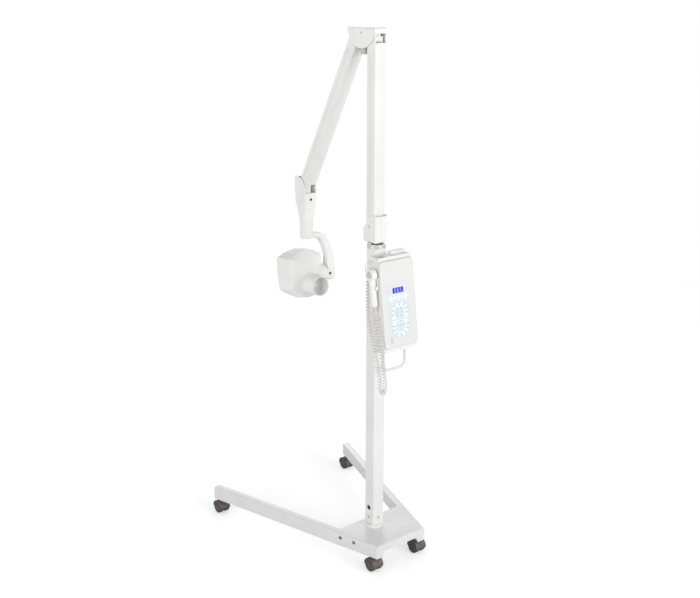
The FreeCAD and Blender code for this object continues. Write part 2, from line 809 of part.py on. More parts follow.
def make_arm(which):
    """Make one arm: box tube, spring, tension rod and levelling link."""
    tube = arm_body(which + "_arm_body", which)
    add_block(tube, "XY", "-arm_half_width", "-arm_half_depth", "arm_half_width",
              "arm_half_depth", "0", "arm_length")
    round_edges(tube, "arm_round", lambda e: runs_along(e, Z_AXIS))
    inner_x = "arm_half_width - arm_wall"
    inner_y = "arm_half_depth - arm_wall"
    cut_block(tube, "XY", "-(%s)" % inner_x, "-(%s)" % inner_y, inner_x, inner_y, "0",
              "arm_length")
    for start in ("0", "arm_length - arm_opening"):
        cut_block(tube, "XY", "-(%s)" % inner_x, "-2 * arm_half_depth", inner_x,
                  "2 * arm_half_depth", start, "arm_opening")
    for level in ("0", "arm_length"):
        for low in (inner_x, "-arm_half_width"):
            add_disc(tube, "YZ", ("0", level), "arm_half_depth", low, "arm_wall")
        cut_disc(tube, "YZ", ("0", level), "pivot_radius + running_gap", "-2 * arm_half_width",
                 "4 * arm_half_width")
    add_block(tube, "XY", "-(%s)" % inner_x, "-(%s)" % inner_y, "tongue_right", inner_y,
              "web_height", "web_plate")
    cut_disc(tube, "XY", ("-spring_shift", "0"), "rod_radius + slip_gap", "web_height",
             "web_plate")
    finish(tube, which + "_arm_tube")
    seat = "web_height + web_plate"
    spring = arm_body(which + "_spring_body", which)
    add_disc(spring, "XY", ("-spring_shift", "0"), "spring_radius", seat, "spring_length")
    cut_disc(spring, "XY", ("-spring_shift", "0"), "spring_bore", seat, "spring_length")
    finish(spring, which + "_arm_spring")
    rod = arm_body(which + "_rod_body", which)
    add_disc(rod, "XY", ("-spring_shift", "0"), "rod_radius", "web_height - rod_tail",
             "rod_tail + web_plate + spring_length")
    add_disc(rod, "XY", ("-spring_shift", "0"), "spring_radius", seat + " + spring_length",
             "rod_head")
    finish(rod, which + "_arm_rod")
    link = arm_body(which + "_link_body", which, REAR_LINK if which == "rear" else FRONT_LINK)
    near = "tongue_right + link_gap / 2"
    add_block(link, "YZ", "-link_half", "0", "link_half", "arm_length", near, "link_thick")
    for level in ("0", "arm_length"):
        add_disc(link, "YZ", ("0", level), "link_eye", near, "link_thick")
        cut_disc(link, "YZ", ("0", level), "link_pin + running_gap", near, "link_thick")
    finish(link, which + "_link_bar")


def make_elbow():
    """Make the level bracket that joins the arms, with its cap, pins and stop block."""
    bracket = column_body("elbow_bracket_body", "arm_offset", "arm_pivot + arm_length")
    cheek = [("-bracket_rear", "slab_top"), ("-bracket_rear", "slab_top - bracket_lip"),
             ("-21", "slab_top - bracket_lip"), ("-13", "-1"), ("-2", "-13"), ("13", "-24"),
             ("30", "-30.5"), ("48", "-bracket_belly"), ("66", "-30.5"), ("83", "-24"),
             ("98", "-13"), ("109", "-1"), ("118", "14"), ("bracket_front", "slab_low"),
             ("bracket_front", "slab_top")]
    for low in ("cover_inner", "-cover_inner - cover_wall"):
        add_polygon(bracket, "YZ", cheek, low, "cover_wall")
        if low == "cover_inner":
            add_block(bracket, "XY", "-cover_inner", "-bracket_rear", "cover_inner",
                      "bracket_front", "slab_low", "slab_top - slab_low")
    add_block(bracket, "XY", "-cover_inner", "-bracket_rear", "cover_inner",
              "-bracket_rear + bracket_lip_wall", "slab_top - bracket_lip", "bracket_lip")
    add_tongue(bracket, "0", ("0", "slab_low"), REAR_LINK[0], REAR_LINK[1])
    add_tongue(bracket, "elbow_span", ("0", "slab_low"), FRONT_LINK[0], FRONT_LINK[1])
    finish(bracket, "elbow_bracket")
    cap = column_body("elbow_cap_body", "arm_offset", "arm_pivot + arm_length")
    half = "cover_inner + cover_wall"
    add_block(cap, "XY", "-(%s)" % half, "-bracket_rear", half, "bracket_front", "slab_top",
              "cap_crown")
    top = number("slab_top") + number("cap_crown")
    round_edges(cap, "cap_crown - 0.8", lambda e: abs(e.CenterOfMass.z - top) < 0.01)
    finish(cap, "elbow_cap")
    pins = []
    for place in ("0", "elbow_span"):
        pin = column_body("elbow_pin", "arm_offset", "arm_pivot + arm_length")
        add_disc(pin, "YZ", (place, "0"), "pivot_radius", "-pin_half", "2 * pin_half")
        pins.append(pin)
    finish_group("elbow_pins", pins)
    block = column_body("elbow_stop_body", "arm_offset", "arm_pivot + arm_length")
    add_block(block, "XY", "-stop_half", "stop_rear", "stop_half", "stop_front", "-stop_low",
              "stop_low + slab_low")
    finish(block, "elbow_stop_block")


def ring_wire(centre, across, deep, half_across, half_deep, power):
    """Draw a smooth closed outline between an ellipse and a rounded rectangle."""
    points = []
    steps = 32
    for i in range(steps):
        angle = 2 * math.pi * (i + 0.5) / steps
        c = math.cos(angle)
        s = math.sin(angle)
        u = math.copysign(abs(c) ** (2 / power), c) * half_across
        v = math.copysign(abs(s) ** (2 / power), s) * half_deep
        points.append(centre + across * u + deep * v)
    curve = Part.BSplineCurve()
    curve.interpolate(points, PeriodicFlag=True)
    return Part.Wire([curve.toShape()])


def shape_piece(name, shape):
    """Keep a shape that no primitive makes as a document object."""
    piece = doc.addObject("Part::Feature", name)
    piece.Shape = shape
    return piece


def fuse(name, pieces):
    """Join pieces into one solid."""
    result = doc.addObject("Part::MultiFuse", name + "_join")
    result.Shapes = pieces
    result.Refine = False
    doc.recompute()
    return result


def make_wrist():
    """Make the housing at the front arm's lower end and its pivot pin."""
    body = column_body("wrist_block", WRIST_Y, WRIST_Z)
    half = "cover_inner + cover_wall"
    add_block(body, "XY", "-(%s)" % half, "-wrist_rear", half, "wrist_front", "-wrist_block_low",
              "wrist_block_low - wrist_block_top")
    round_edges(body, "wrist_round", lambda e: runs_along(e, Z_AXIS))
    top = "wrist_cheek_top"
    low_edge = "-wrist_block_top - wrist_round"
    cheek = [("-wrist_rear + 1", low_edge), ("wrist_front", low_edge),
             ("wrist_front", top + " - 5"), ("36", top), ("20", top), ("5", "30"), ("-9", "22"),
             ("-18", "5"), ("-wrist_rear + 1", "-12")]
    for low in ("cover_inner", "-cover_inner - cover_wall"):
        add_polygon(body, "YZ", cheek, low, "cover_wall")
    add_block(body, "XY", "-cover_inner", "wrist_front - wrist_end_wall", "cover_inner",
              "wrist_front", "-wrist_block_top", "wrist_block_top + wrist_cheek_top - 5")
    add_tongue(body, "0", ("-wrist_block_top", "0"), FRONT_LINK[0], FRONT_LINK[1])
    cut_disc(body, "XZ", ("0", "-wrist_screw_drop"), "wrist_screw_hole", "-wrist_rear - 1", "6")
    base = vector(COLUMN_X, ROW_Y + " + " + WRIST_Y, WRIST_Z)
    axis_y = FreeCAD.Vector(0, number("arm_offset"), 0)
    mid_y = FreeCAD.Vector(0, (number("wrist_front") - number("wrist_rear")) / 2, 0)
    block_low = FreeCAD.Vector(0, 0, -number("wrist_block_low"))
    taper_low = FreeCAD.Vector(0, 0, -number("wrist_taper_low"))
    wide = reading(half)
    deep = reading("(wrist_front + wrist_rear) / 2")
    radius = number("hub_radius")
    inset = number("side_gap") * 3
    overlap = FreeCAD.Vector(0, 0, number("wrist_round"))
    first = ring_wire(base + mid_y + block_low + overlap, X_AXIS, Y_AXIS, wide - inset,
                      deep - inset, 8)
    last = ring_wire(base + axis_y + taper_low, X_AXIS, Y_AXIS, radius, radius, 2)
    taper = shape_piece("wrist_taper", Part.makeLoft([first, last], True))
    neck = column_body("wrist_neck", WRIST_Y, WRIST_Z)
    add_disc(neck, "XY", ("0", "arm_offset"), "hub_radius - side_gap", "-wrist_bottom",
             "wrist_bottom - wrist_taper_low + wrist_round")
    bore = column_body("wrist_bore", WRIST_Y, WRIST_Z)
    add_disc(bore, "XY", ("0", "arm_offset"), "yoke_spindle + running_gap", "-wrist_bottom - 1",
             "yoke_spindle_rise + 3")
    whole = fuse("wrist_housing", [body, taper, neck])
    finish(cut_away("wrist_housing", whole, [bore]), "wrist_housing")
    pin = column_body("wrist_pivot_pin_body", WRIST_Y, WRIST_Z)
    add_disc(pin, "YZ", ("0", "0"), "pivot_radius", "-pin_half", "2 * pin_half")
    finish(pin, "wrist_pivot_pin")


# Middle line of the yoke arm from the hub to the tilt boss: x, height over the tilt
# pivot, half thickness, half depth.
YOKE_LINE = [
    (8, 162, 11.5, 19),
    (40, 158.5, 12.5, 17),
    (66, 146, 13.5, 16),
    (84, 120, 15, 16),
    (97, 90, 16.5, 16),
    (104, 50, 18.5, 17),
    (108, 8, 19.5, 18),
]


def yoke_loft(base):
    """Sweep the curved arm of the yoke through sections square to its middle line."""
    wires = []
    rise = reading("(head_drop - wrist_bottom) / yoke_rise")
    last = len(YOKE_LINE) - 1
    for i, (x, z, thick, deep) in enumerate(YOKE_LINE):
        before = YOKE_LINE[max(i - 1, 0)]
        after = YOKE_LINE[min(i + 1, last)]
        run = FreeCAD.Vector(after[0] - before[0], 0, (after[1] - before[1]) * rise).normalize()
        across = FreeCAD.Vector(-run.z, 0, run.x)
        centre = base + FreeCAD.Vector(x, 0, z * rise)
        wires.append(ring_wire(centre, across, Y_AXIS, thick, deep, 3))
    return Part.makeLoft(wires, True)


def make_yoke():
    """Make the single-sided yoke: hub, spindle, curved arm and tilt boss."""
    hub = column_body("yoke_hub", HEAD_Y, HEAD_Z)
    hub_top = "head_drop - wrist_bottom"
    add_disc(hub, "XY", ("0", "0"), "hub_radius", hub_top + " - hub_height", "hub_height")
    low = reading(hub_top + " - hub_height")
    round_edges(hub, "leg_round + 1", lambda e: abs(e.CenterOfMass.z - low) < 0.01)
    add_disc(hub, "XY", ("0", "0"), "yoke_spindle", hub_top, "yoke_spindle_rise")
    base = vector(COLUMN_X, ROW_Y + " + " + HEAD_Y, HEAD_Z)
    arm = shape_piece("yoke_curve", yoke_loft(base))
    boss = column_body("yoke_boss", HEAD_Y, HEAD_Z)
    add_block(boss, "YZ", "-boss_half_depth", "-boss_half_height", "boss_half_depth",
              "boss_half_height", "boss_inner", "boss_outer - boss_inner")
    round_edges(boss, "boss_round", lambda e: e.CenterOfMass.x > number("boss_inner") + 1)
    bore = column_body("yoke_bore", HEAD_Y, HEAD_Z)
    add_disc(bore, "YZ", ("0", "0"), "trunnion_radius + running_gap", "boss_inner - 20",
             "boss_outer - boss_inner + 17")
    screw = column_body("yoke_screw_hole", HEAD_Y, HEAD_Z)
    add_disc(screw, "XZ", ("set_screw_x", "-4"), "set_screw_hole", "-boss_half_depth - 10",
             "set_screw_depth + 10")
    face = column_body("yoke_face", HEAD_Y, HEAD_Z)
    add_block(face, "YZ", "-60", "-80", "60", "60", "boss_inner - 40", "40")
    arm_trim = cut_away("yoke_arm_trim", arm, [face])
    whole = fuse("yoke_arm", [hub, arm_trim, boss])
    finish(cut_away("yoke_arm", whole, [bore, screw]), "yoke_arm")


# Sections of the tube head along its own Y: shoulder half width and height, upper corner
# half width and height, lower corner half width and height, sill half width and height,
# crown height and keel height.
HEAD_SECTIONS = [
    (-22, 14, 50, 24, 22, 46, -32, 30, -70, 57, -76),
    (-8, 38, 78, 66, 68, 72, -40, 46, -84, 84, -90),
    (6, 44, 92, 76, 72, 80, -50, 54, -84, 106, -92),
    (78, 50, 88, 84, 74, 84, -58, 60, -76, 99, -84),
    (95, 44, 74, 76, 62, 76, -50, 52, -66, 84, -72),
]


def head_section(section, inset):
    """Draw one section of the head, drawn in by an inset."""
    y, sx, sz, ux, uz, lx, lz, kx, kz, crown, keel = section
    k = inset
    half = [(0, crown - k), (sx - k * 0.5, sz - k), (ux - k, uz - k * 0.8), (lx - k, lz + k * 0.6),
            (kx - k * 0.6, kz + k), (0, keel + k)]
    mirror = [(-x, z) for x, z in reversed(half[1:-1])]
    points = [FreeCAD.Vector(x, y, z) for x, z in half + mirror]
    points.append(points[0])
    return Part.makePolygon(points)


def head_block(inset):
    """Make the head's faceted block, drawn in by an inset."""
    wires = []
    for i, section in enumerate(HEAD_SECTIONS):
        moved = list(section)
        if i == 0:
            moved[0] += inset
        if i == len(HEAD_SECTIONS) - 1:
            moved[0] -= inset
        wires.append(head_section(moved, inset))
    return Part.makeLoft(wires, True, True)


def head_frame(piece):
    """Put a piece drawn about the tilt pivot in its place in the row."""
    lean = FreeCAD.Rotation(X_AXIS, -number("beam_tilt"))
    piece.Placement = FreeCAD.Placement(vector(COLUMN_X, ROW_Y + " + " + HEAD_Y, HEAD_Z), lean)


def head_body(name):
    """Start a body in the frame of the head's tilt pivot."""
    return new_body(name, COLUMN_X, ROW_Y + " + " + HEAD_Y, HEAD_Z, X_AXIS, "-beam_tilt")


def make_head_shells():
    """Make the faceted shell of the head in an upper and a slightly inset lower half."""
    seam = number("head_seam")
    wall = number("head_wall")
    step = number("head_step")
    big = 400
    above = Part.makeBox(big, big, big, FreeCAD.Vector(-big / 2, -big / 2, seam + 0.05))
    below = Part.makeBox(big, big, big, FreeCAD.Vector(-big / 2, -big / 2, seam - big - 0.05))
    front = FreeCAD.Vector(0, -big / 2, -number("cone_drop"))
    cone = Part.makeCylinder(reading("cone_radius + slip_gap"), big / 2, front, Y_AXIS)
    shaft = Part.makeCylinder(reading("trunnion_radius + side_gap"), big / 2,
                              FreeCAD.Vector(), X_AXIS)
    upper = head_block(0).cut(head_block(wall)).common(above).cut(cone).cut(shaft)
    lower = head_block(step).cut(head_block(step + wall)).common(below).cut(cone)
    for name, shape in (("head_upper_shell", upper), ("head_lower_shell", lower)):
        piece = shape_piece(name + "_shape", max(shape.Solids, key=lambda s: s.Volume))
        head_frame(piece)
        finish(piece, name)


def make_head_inside():
    """Make the beam cone, the sealed tube tank and the trunnion shaft."""
    middle = ("0", "-cone_drop")
    cone = head_body("beam_cone_body")
    add_disc(cone, "XZ", middle, "cone_radius", "-cone_mouth", "cone_mouth - cone_root")
    cut_disc(cone, "XZ", middle, "cone_bore", "-cone_mouth", "cone_stop_depth")
    cut_disc(cone, "XZ", middle, "cone_stop_bore", "-cone_mouth", "cone_mouth - cone_root")
    cut_disc(cone, "XZ", middle, "cone_bore", "-cone_mouth + cone_stop_depth + cone_stop_plate",
             "cone_mouth - cone_root - cone_stop_depth - cone_stop_plate")
    finish(cone, "beam_cone")
    tank = head_body("tube_tank_body")
    add_disc(tank, "YZ", ("tank_back", "tank_rise"), "tank_radius", "-trunnion_root",
             "2 * trunnion_root")
    add_block(tank, "YZ", "-cone_root", "-cone_drop - 26", "tank_back", "-cone_drop + 26",
              "-28", "56")
    cut_disc(tank, "YZ", ("0", "0"), "trunnion_radius + press_gap", "trunnion_root - 20", "20")
    finish(tank, "tube_tank")
    shaft = head_body("head_trunnion_body")
    add_disc(shaft, "YZ", ("0", "0"), "trunnion_radius", "trunnion_root - 18",
             "boss_outer - trunnion_root + 15")
    add_disc(shaft, "YZ", ("0", "0"), "trunnion_flange", "head_half_width + side_gap",
             "boss_inner - head_half_width - side_gap - slip_gap")
    finish(shaft, "head_trunnion")


BOX_X = "box_centre"


def panel_back(z):
    """Give how far forward the sloping back of the front panel is at a height."""
    return ("(-panel_low_y + panel_thick / cos(box_slope) + (%s - panel_low_z) * tan(box_slope))"
            % z)


def make_box_shell():
    """Make the rear shell of the control box, open behind the panel, with its holes and bosses."""
    shell = column_body("box_rear_shell_body", "0", "0", BOX_X)
    half = "box_half_width"
    side = [("-box_rear", "box_low"), (panel_back("box_low_front"), "box_low_front"),
            (panel_back("box_top"), "box_top"), ("-box_rear", "box_top")]
    add_polygon(shell, "YZ", side, "-box_half_width", "2 * box_half_width")
    round_edges(shell, "2 * box_wall", lambda e: runs_along(e, Y_AXIS)
                and e.CenterOfMass.z > number("box_top") - 1)
    low, high = "(box_low_front + box_wall + 2)", "(box_top - box_wall)"
    inside = [("-box_rear - box_wall", "box_low + box_wall + 0.5"), (panel_back(low) + " + box_wall", low),
              (panel_back(high) + " + box_wall", high), ("-box_rear - box_wall", high)]
    cut_polygon(shell, "YZ", inside, "-box_half_width + box_wall", "2 * (box_half_width - box_wall)")
    low, high = "(panel_low_z + box_lip)", "(panel_low_z + panel_height * cos(box_slope) - box_lip)"
    front = [("-panel_low_y - 20", low), (panel_back(low) + " + box_wall + 1", low),
             (panel_back(high) + " + box_wall + 1", high), ("-panel_low_y - 20", high)]
    cut_polygon(shell, "YZ", front, "-box_half_width + box_wall", "2 * (box_half_width - box_wall)")
    add_block(shell, "XY", "hump_left", "-box_rear - hump_depth", half + " - box_wall * 2",
              "-box_rear", "box_top - 1", "hump_height + 1")
    add_disc(shell, "XY", ("recess_x - box_centre", "-recess_y"), "recess_radius + 2",
             "box_top - recess_depth - 2", "recess_depth + 1")
    cut_disc(shell, "XY", ("recess_x - box_centre", "-recess_y"), "recess_radius",
             "box_top - recess_depth", "recess_depth + 1")
    for sign in (1, -1):
        x = "%d * handle_half" % sign
        add_disc(shell, "XY", (x, "-handle_y"), "handle_boss", "box_low_front + 1",
                 "handle_top - box_low_front + 2")
        cut_disc(shell, "XY", (x, "-handle_y"), "handle_radius + press_gap", "box_low - 2",
                 "handle_top - box_low + 2.05")
    cut_disc(shell, "YZ", ("-gland_y", "gland_z"), "gland_radius - 1 + press_gap",
             "-box_half_width - 1", "box_wall + 2")
    cut_block(shell, "YZ", "-switch_y - switch_half_depth - slip_gap",
              "switch_z - switch_half_height - slip_gap",
              "-switch_y + switch_half_depth + slip_gap",
              "switch_z + switch_half_height + slip_gap", half + " - box_wall - 1", "box_wall + 2")
    finish(shell, "box_rear_shell")
    bracket = column_body("box_bracket_body")
    add_block(bracket, "XY", "-bracket_half", "-box_rear", "bracket_half", "-column_width / 2",
              "box_bracket_low", "box_bracket_height")
    finish(bracket, "box_bracket")


def panel_body(name):
    """Start a body on the outer face of the front panel, with Z up the panel."""
    return new_body(name, COLUMN_X + " + box_centre", ROW_Y + " - panel_low_y", "panel_low_z",
                    X_AXIS, "-box_slope")


def make_front_panel():
    """Make the sloping front panel with its keypad film and display window."""
    panel = panel_body("box_front_panel_body")
    half = "panel_half_width"
    add_block(panel, "XZ", "-panel_half_width", "0", half, "panel_height", "0", "panel_thick")
    round_edges(panel, "panel_round", lambda e: runs_along(e, Y_AXIS))
    round_edges(panel, "panel_edge", lambda e: abs(e.CenterOfMass.y) < 0.01)
    edge = "(box_wall + panel_edge)"
    cut_block(panel, "XZ", "-panel_half_width + " + edge, edge, half + " - " + edge,
              "panel_height - " + edge, "box_wall + 1", "panel_thick - box_wall - 1")
    cut_block(panel, "XZ", "-keypad_left", "keypad_low", "keypad_right", "keypad_high", "0",
              "keypad_recess")
    finish(panel, "box_front_panel")
    film = panel_body("keypad_film_body")
    gap = "slip_gap"
    add_block(film, "XZ", "-keypad_left + " + gap, "keypad_low + " + gap, "keypad_right - " + gap,
              "keypad_high - " + gap, "keypad_recess - keypad_thick", "keypad_thick")
    cut_block(film, "XZ", "-display_left - " + gap, "display_low - " + gap,
              "display_right + " + gap, "display_high + " + gap, "0", "keypad_recess")
    finish(film, "keypad_film")
    window = panel_body("display_window_body")
    add_block(window, "XZ", "-display_left", "display_low", "display_right", "display_high",
              "keypad_recess - keypad_thick", "keypad_thick")
    finish(window, "display_window")
    switch = column_body("power_switch_body", "0", "0", BOX_X)
    add_block(switch, "YZ", "-switch_y - switch_half_depth", "switch_z - switch_half_height",
              "-switch_y + switch_half_depth", "switch_z + switch_half_height",
              "box_half_width - switch_length", "switch_length + switch_travel + side_gap + 0.5")
    add_block(switch, "YZ", "-switch_y - switch_half_depth - 2",
              "switch_z - switch_half_height - 2", "-switch_y + switch_half_depth + 2",
              "switch_z + switch_half_height + 2",
              "box_half_width + switch_travel + side_gap", "switch_rim")
    finish(switch, "power_switch")


def route_wire(points, radii):
    """Join straight runs with tangent arcs."""
    edges = []
    start = points[0]
    for i in range(1, len(points) - 1):
        back = (points[i - 1] - points[i]).normalize()
        ahead = (points[i + 1] - points[i]).normalize()
        half = (math.pi - back.getAngle(ahead)) / 2
        trim = radii[i - 1] * math.tan(half)
        enter = points[i] + back * trim
        leave = points[i] + ahead * trim
        bisector = (back + ahead).normalize()
        centre = points[i] + bisector * (radii[i - 1] / math.cos(half))
        middle = centre - bisector * radii[i - 1]
        edges.append(Part.LineSegment(start, enter).toShape())
        edges.append(Part.Arc(enter, middle, leave).toShape())
        start = leave
    edges.append(Part.LineSegment(start, points[-1]).toShape())
    return Part.Wire(edges)


def bend_radii(points):
    """Give the bend radius at each inner point of a soft cord's route."""
    radii = []
    for i in range(1, len(points) - 1):
        back = points[i - 1] - points[i]
        ahead = points[i + 1] - points[i]
        half = (math.pi - back.getAngle(ahead)) / 2
        radii.append(0.45 * min(back.Length, ahead.Length) / math.tan(half))
    return radii


def tube_along(wire, radius):
    """Sweep a round section along a route and check its volume."""
    start = wire.Edges[0]
    origin = start.valueAt(start.FirstParameter)
    direction = start.tangentAt(start.FirstParameter)
    profile = Part.Wire([Part.makeCircle(radius, origin, direction)])
    solid = wire.makePipeShell([profile], True, True)
    expected = math.pi * radius * radius * wire.Length
    if abs(solid.Volume - expected) > expected * 0.02:
        raise RuntimeError("a swept tube has the wrong volume")
    return solid


def make_handle():
    """Make the bent rod handle under the control box."""
    x = number("box_centre")
    half = number("handle_half")
    y = -number("handle_y")
    low = number("handle_low")
    top = number("handle_top")
    points = [FreeCAD.Vector(x - half, y, top), FreeCAD.Vector(x - half, y, low),
              FreeCAD.Vector(x + half, y, low), FreeCAD.Vector(x + half, y, top)]
    bend = number("handle_bend")
    rod = tube_along(route_wire(points, [bend, bend]), number("handle_radius"))
    piece = shape_piece("push_handle_shape", rod)
    bind_place(piece, COLUMN_X, ROW_Y, "0")
    finish(piece, "push_handle")


def handset_body(name):
    """Start a body in the leaning frame of the handset's round head."""
    return new_body(name, COLUMN_X + " - handset_x", ROW_Y + " - handset_y", "handset_z",
                    X_AXIS, "-handset_lean")


def make_handset():
    """Make the exposure handset, its button, strain relief and holder."""
    body = handset_body("handset_shell_body")
    add_disc(body, "YZ", ("0", "0"), "handset_head", "-handset_head_left",
             "handset_head_left + handset_head_right")
    add_disc(body, "XY", ("0", "0"), "handset_grip", "-handset_length", "handset_length")
    cut_disc(body, "YZ", ("0", "0"), "button_radius + slip_gap", "-handset_head_left",
             "button_recess")
    finish(body, "handset_body")
    button = handset_body("handset_button_body")
    add_disc(button, "YZ", ("0", "0"), "button_radius", "-handset_head_left - button_proud",
             "button_thick")
    finish(button, "handset_button")
    relief = handset_body("handset_relief_body")
    add_disc(relief, "XY", ("0", "0"), "relief_root", "-handset_length - relief_length / 2",
             "relief_length / 2")
    add_disc(relief, "XY", ("0", "0"), "relief_tip", "-handset_length - relief_length",
             "relief_length / 2")
    finish(relief, "handset_relief")
    holder = column_body("handset_holder_body")
    wall = "box_centre - box_half_width"
    add_block(holder, "XY", wall + " - holder_plate", "-handset_y - holder_half - 8", wall,
              "-handset_y + holder_half - 2", "holder_low", "holder_high - holder_low")
    for sign in (1, -1):
        low = "-66 + %d * (handset_grip + 3.6) - 1.5" % sign
        add_block(holder, "XY", wall + " - holder_plate - holder_arm", low, wall + " - holder_plate",
                  low + " + 3", "holder_low", "14")
    finish(holder, "handset_holder")


# Route of the coiled cord from its straight lead to the handset, from the column's axis.
COIL_ROUTE = [
    (-69, -38, 1104),
    (-73, -43, 1062),
    (-75, -45, 1012),
    (-75, -53, 962),
    (-73, -68, 908),
    (-70, -84, 855),
    (-68, -96, 808),
    (-66, -104, 765),
    (-66, -105, 722),
    (-71, -127, 709),
    (-77, -149, 722),
    (-78, -147, 770),
    (-77, -138, 820),
    (-75, -124, 870),
    (-71, -105, 915),
]
LEAD_ROUTE = [
    (-78, -37, 1171),
    (-78, -33, 1147),
    (-67, -35.5, 1125),
]


def make_cord():
    """Make the coiled cord as one tube of its outer size, its straight lead and its gland."""
    base = vector(COLUMN_X, ROW_Y, "0")
    gland = column_body("cord_gland_body", "0", "0", BOX_X)
    add_disc(gland, "YZ", ("-gland_y", "gland_z"), "gland_radius",
             "-box_half_width - gland_length + box_wall", "gland_length - box_wall")
    add_disc(gland, "YZ", ("-gland_y", "gland_z"), "gland_radius - 1", "-box_half_width",
             "box_wall")
    finish(gland, "cord_gland")
    exit_x = reading("box_centre - box_half_width - gland_length + box_wall")
    start = FreeCAD.Vector(exit_x, -number("gland_y"), number("gland_z"))
    lead = [start] + [FreeCAD.Vector(*p) for p in LEAD_ROUTE] + [FreeCAD.Vector(*COIL_ROUTE[0])]
    lean = FreeCAD.Rotation(X_AXIS, -number("handset_lean"))
    head = FreeCAD.Vector(-number("handset_x"), -number("handset_y"), number("handset_z"))
    reach = reading("handset_length + relief_length")
    tail = head + lean.multVec(FreeCAD.Vector(0, 0, -reach))
    near = head + lean.multVec(FreeCAD.Vector(0, 0, -reach - 38))
    coil = [FreeCAD.Vector(*p) for p in COIL_ROUTE] + [near, tail]
    for name, route, radius in (("cord_lead", lead, "lead_radius"),
                                ("curly_cord", coil, "coil_radius")):
        route = [base + p for p in route]
        radii = bend_radii(route)
        wire = route_wire(route, radii)
        print(name, "length", round(wire.Length, 1), "tightest bend", round(min(radii), 1))
        piece = shape_piece(name + "_shape", tube_along(wire, number(radius)))
        finish(piece, name)


def check_and_save():
    """Check every finished sub-part and write its file."""
    doc.recompute()
    for thing in doc.Objects:
        if "Invalid" in thing.State or "Error" in thing.State:
            raise RuntimeError("%s is in state %s" % (thing.Name, thing.State))
    for piece, label, solids in finished:
        shape = piece.Shape
        if shape.isNull() or not shape.isValid() or len(shape.Solids) != solids:
            raise RuntimeError("%s: bad shape, %d solids" % (label, len(shape.Solids)))
        shape.exportStep("parts/%s.step" % label)
        box = shape.BoundBox
        print("%-26s %9.1f mm3  x %.1f %.1f  y %.1f %.1f  z %.1f %.1f" % (
            label, shape.Volume, box.XMin, box.XMax, box.YMin, box.YMax, box.ZMin, box.ZMax))


make_legs()
make_leg_caps()
make_deck(make_bolts())
make_casters()
make_column()
make_swivel()
make_lower_knuckle()
make_lower_covers()
make_arm("rear")
make_arm("front")
make_elbow()
make_wrist()
make_yoke()
make_head_shells()
make_head_inside()
make_box_shell()
make_front_panel()
make_handle()
make_handset()
make_cord()
check_and_save()
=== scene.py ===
"""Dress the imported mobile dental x-ray unit with its finishes and its fine shapes."""

import json
import logging
import math
from dataclasses import dataclass, field
from enum import Enum

import bmesh
import bpy
from bpy.types import ID, Material, Mesh, Node, NodeSocket, NodeTree, Object
from mathutils import Matrix, Vector

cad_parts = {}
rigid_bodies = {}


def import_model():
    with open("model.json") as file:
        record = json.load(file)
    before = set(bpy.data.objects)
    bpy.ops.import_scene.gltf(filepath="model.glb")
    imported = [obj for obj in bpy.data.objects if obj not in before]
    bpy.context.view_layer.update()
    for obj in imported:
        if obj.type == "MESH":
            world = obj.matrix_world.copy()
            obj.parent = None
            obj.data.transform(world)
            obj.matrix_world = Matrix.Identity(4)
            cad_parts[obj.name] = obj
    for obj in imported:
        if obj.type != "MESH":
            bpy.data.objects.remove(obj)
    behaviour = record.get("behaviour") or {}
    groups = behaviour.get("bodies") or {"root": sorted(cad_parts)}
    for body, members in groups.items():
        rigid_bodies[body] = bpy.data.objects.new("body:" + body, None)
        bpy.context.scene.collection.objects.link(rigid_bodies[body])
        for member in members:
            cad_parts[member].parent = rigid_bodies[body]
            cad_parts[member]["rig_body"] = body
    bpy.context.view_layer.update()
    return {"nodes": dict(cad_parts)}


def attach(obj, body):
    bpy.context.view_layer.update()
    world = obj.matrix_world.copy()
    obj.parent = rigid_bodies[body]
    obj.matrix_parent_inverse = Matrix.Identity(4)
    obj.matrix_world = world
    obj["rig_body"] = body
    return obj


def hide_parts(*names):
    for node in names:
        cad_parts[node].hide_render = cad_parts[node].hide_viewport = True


for leftover in list(bpy.data.objects):
    bpy.data.objects.remove(leftover)
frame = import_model()
NODES = frame["nodes"]
LOG = logging.getLogger("xray_unit")
MM = 0.001
Triple = tuple[float, float, float]
Outline = list[tuple[float, float]]
Spots = list[tuple[Vector, Vector]]
COLUMN = Vector((-16.5, -255.3, 0.0))
LEG_SPREAD = math.radians(16.92)


def place_at(x: float, y: float, z: float, lean: float = 0.0) -> Matrix:
    """Give the frame of a leaning part.

    Args:
        x: Across the unit, in millimetres.
        y: Along the unit, in millimetres.
        z: Height over the floor, in millimetres.
        lean: Turn about the X axis, in degrees.

    Returns:
        The matrix from that part's millimetres to the row's metres.
    """
    scale = Matrix.Diagonal((MM, MM, MM, 1.0))
    return Matrix.Translation(Vector((x, y, z)) * MM) @ Matrix.Rotation(math.radians(lean), 4, "X") @ scale


ROW = place_at(0, 0, 0)
COLUMN_FOOT = place_at(*COLUMN)
LOWER_PIVOT = COLUMN_FOOT @ Matrix.Translation(Vector((0, 7.5, 1284)))
ELBOW = COLUMN_FOOT @ Matrix.Translation(Vector((0, 7.5, 1920)))
FRONT_PIVOT = place_at(-16.5, 163.81, 1367.55, 29.7)
PANEL = place_at(5.5, -380.3, 866, -7.33)
HANDSET = place_at(-84.1, -314.3, 1131, -8.6)
HEAD = place_at(-16.5, 171.31, 1009.95, -4)
ALONG_X = Matrix.Rotation(math.pi / 2, 4, "Y")


class Grain(Enum):
    """The fine relief of a surface."""

    PEEL = "orange peel of sprayed paint"
    POWDER = "fine pebble of powder coat"
    MOULD = "spark-eroded mould texture"
    BRUSHED = "lines of a drawn or brushed metal"
    RUBBER = "soft scuffed rubber"
    SMOOTH = "polished, almost free of relief"


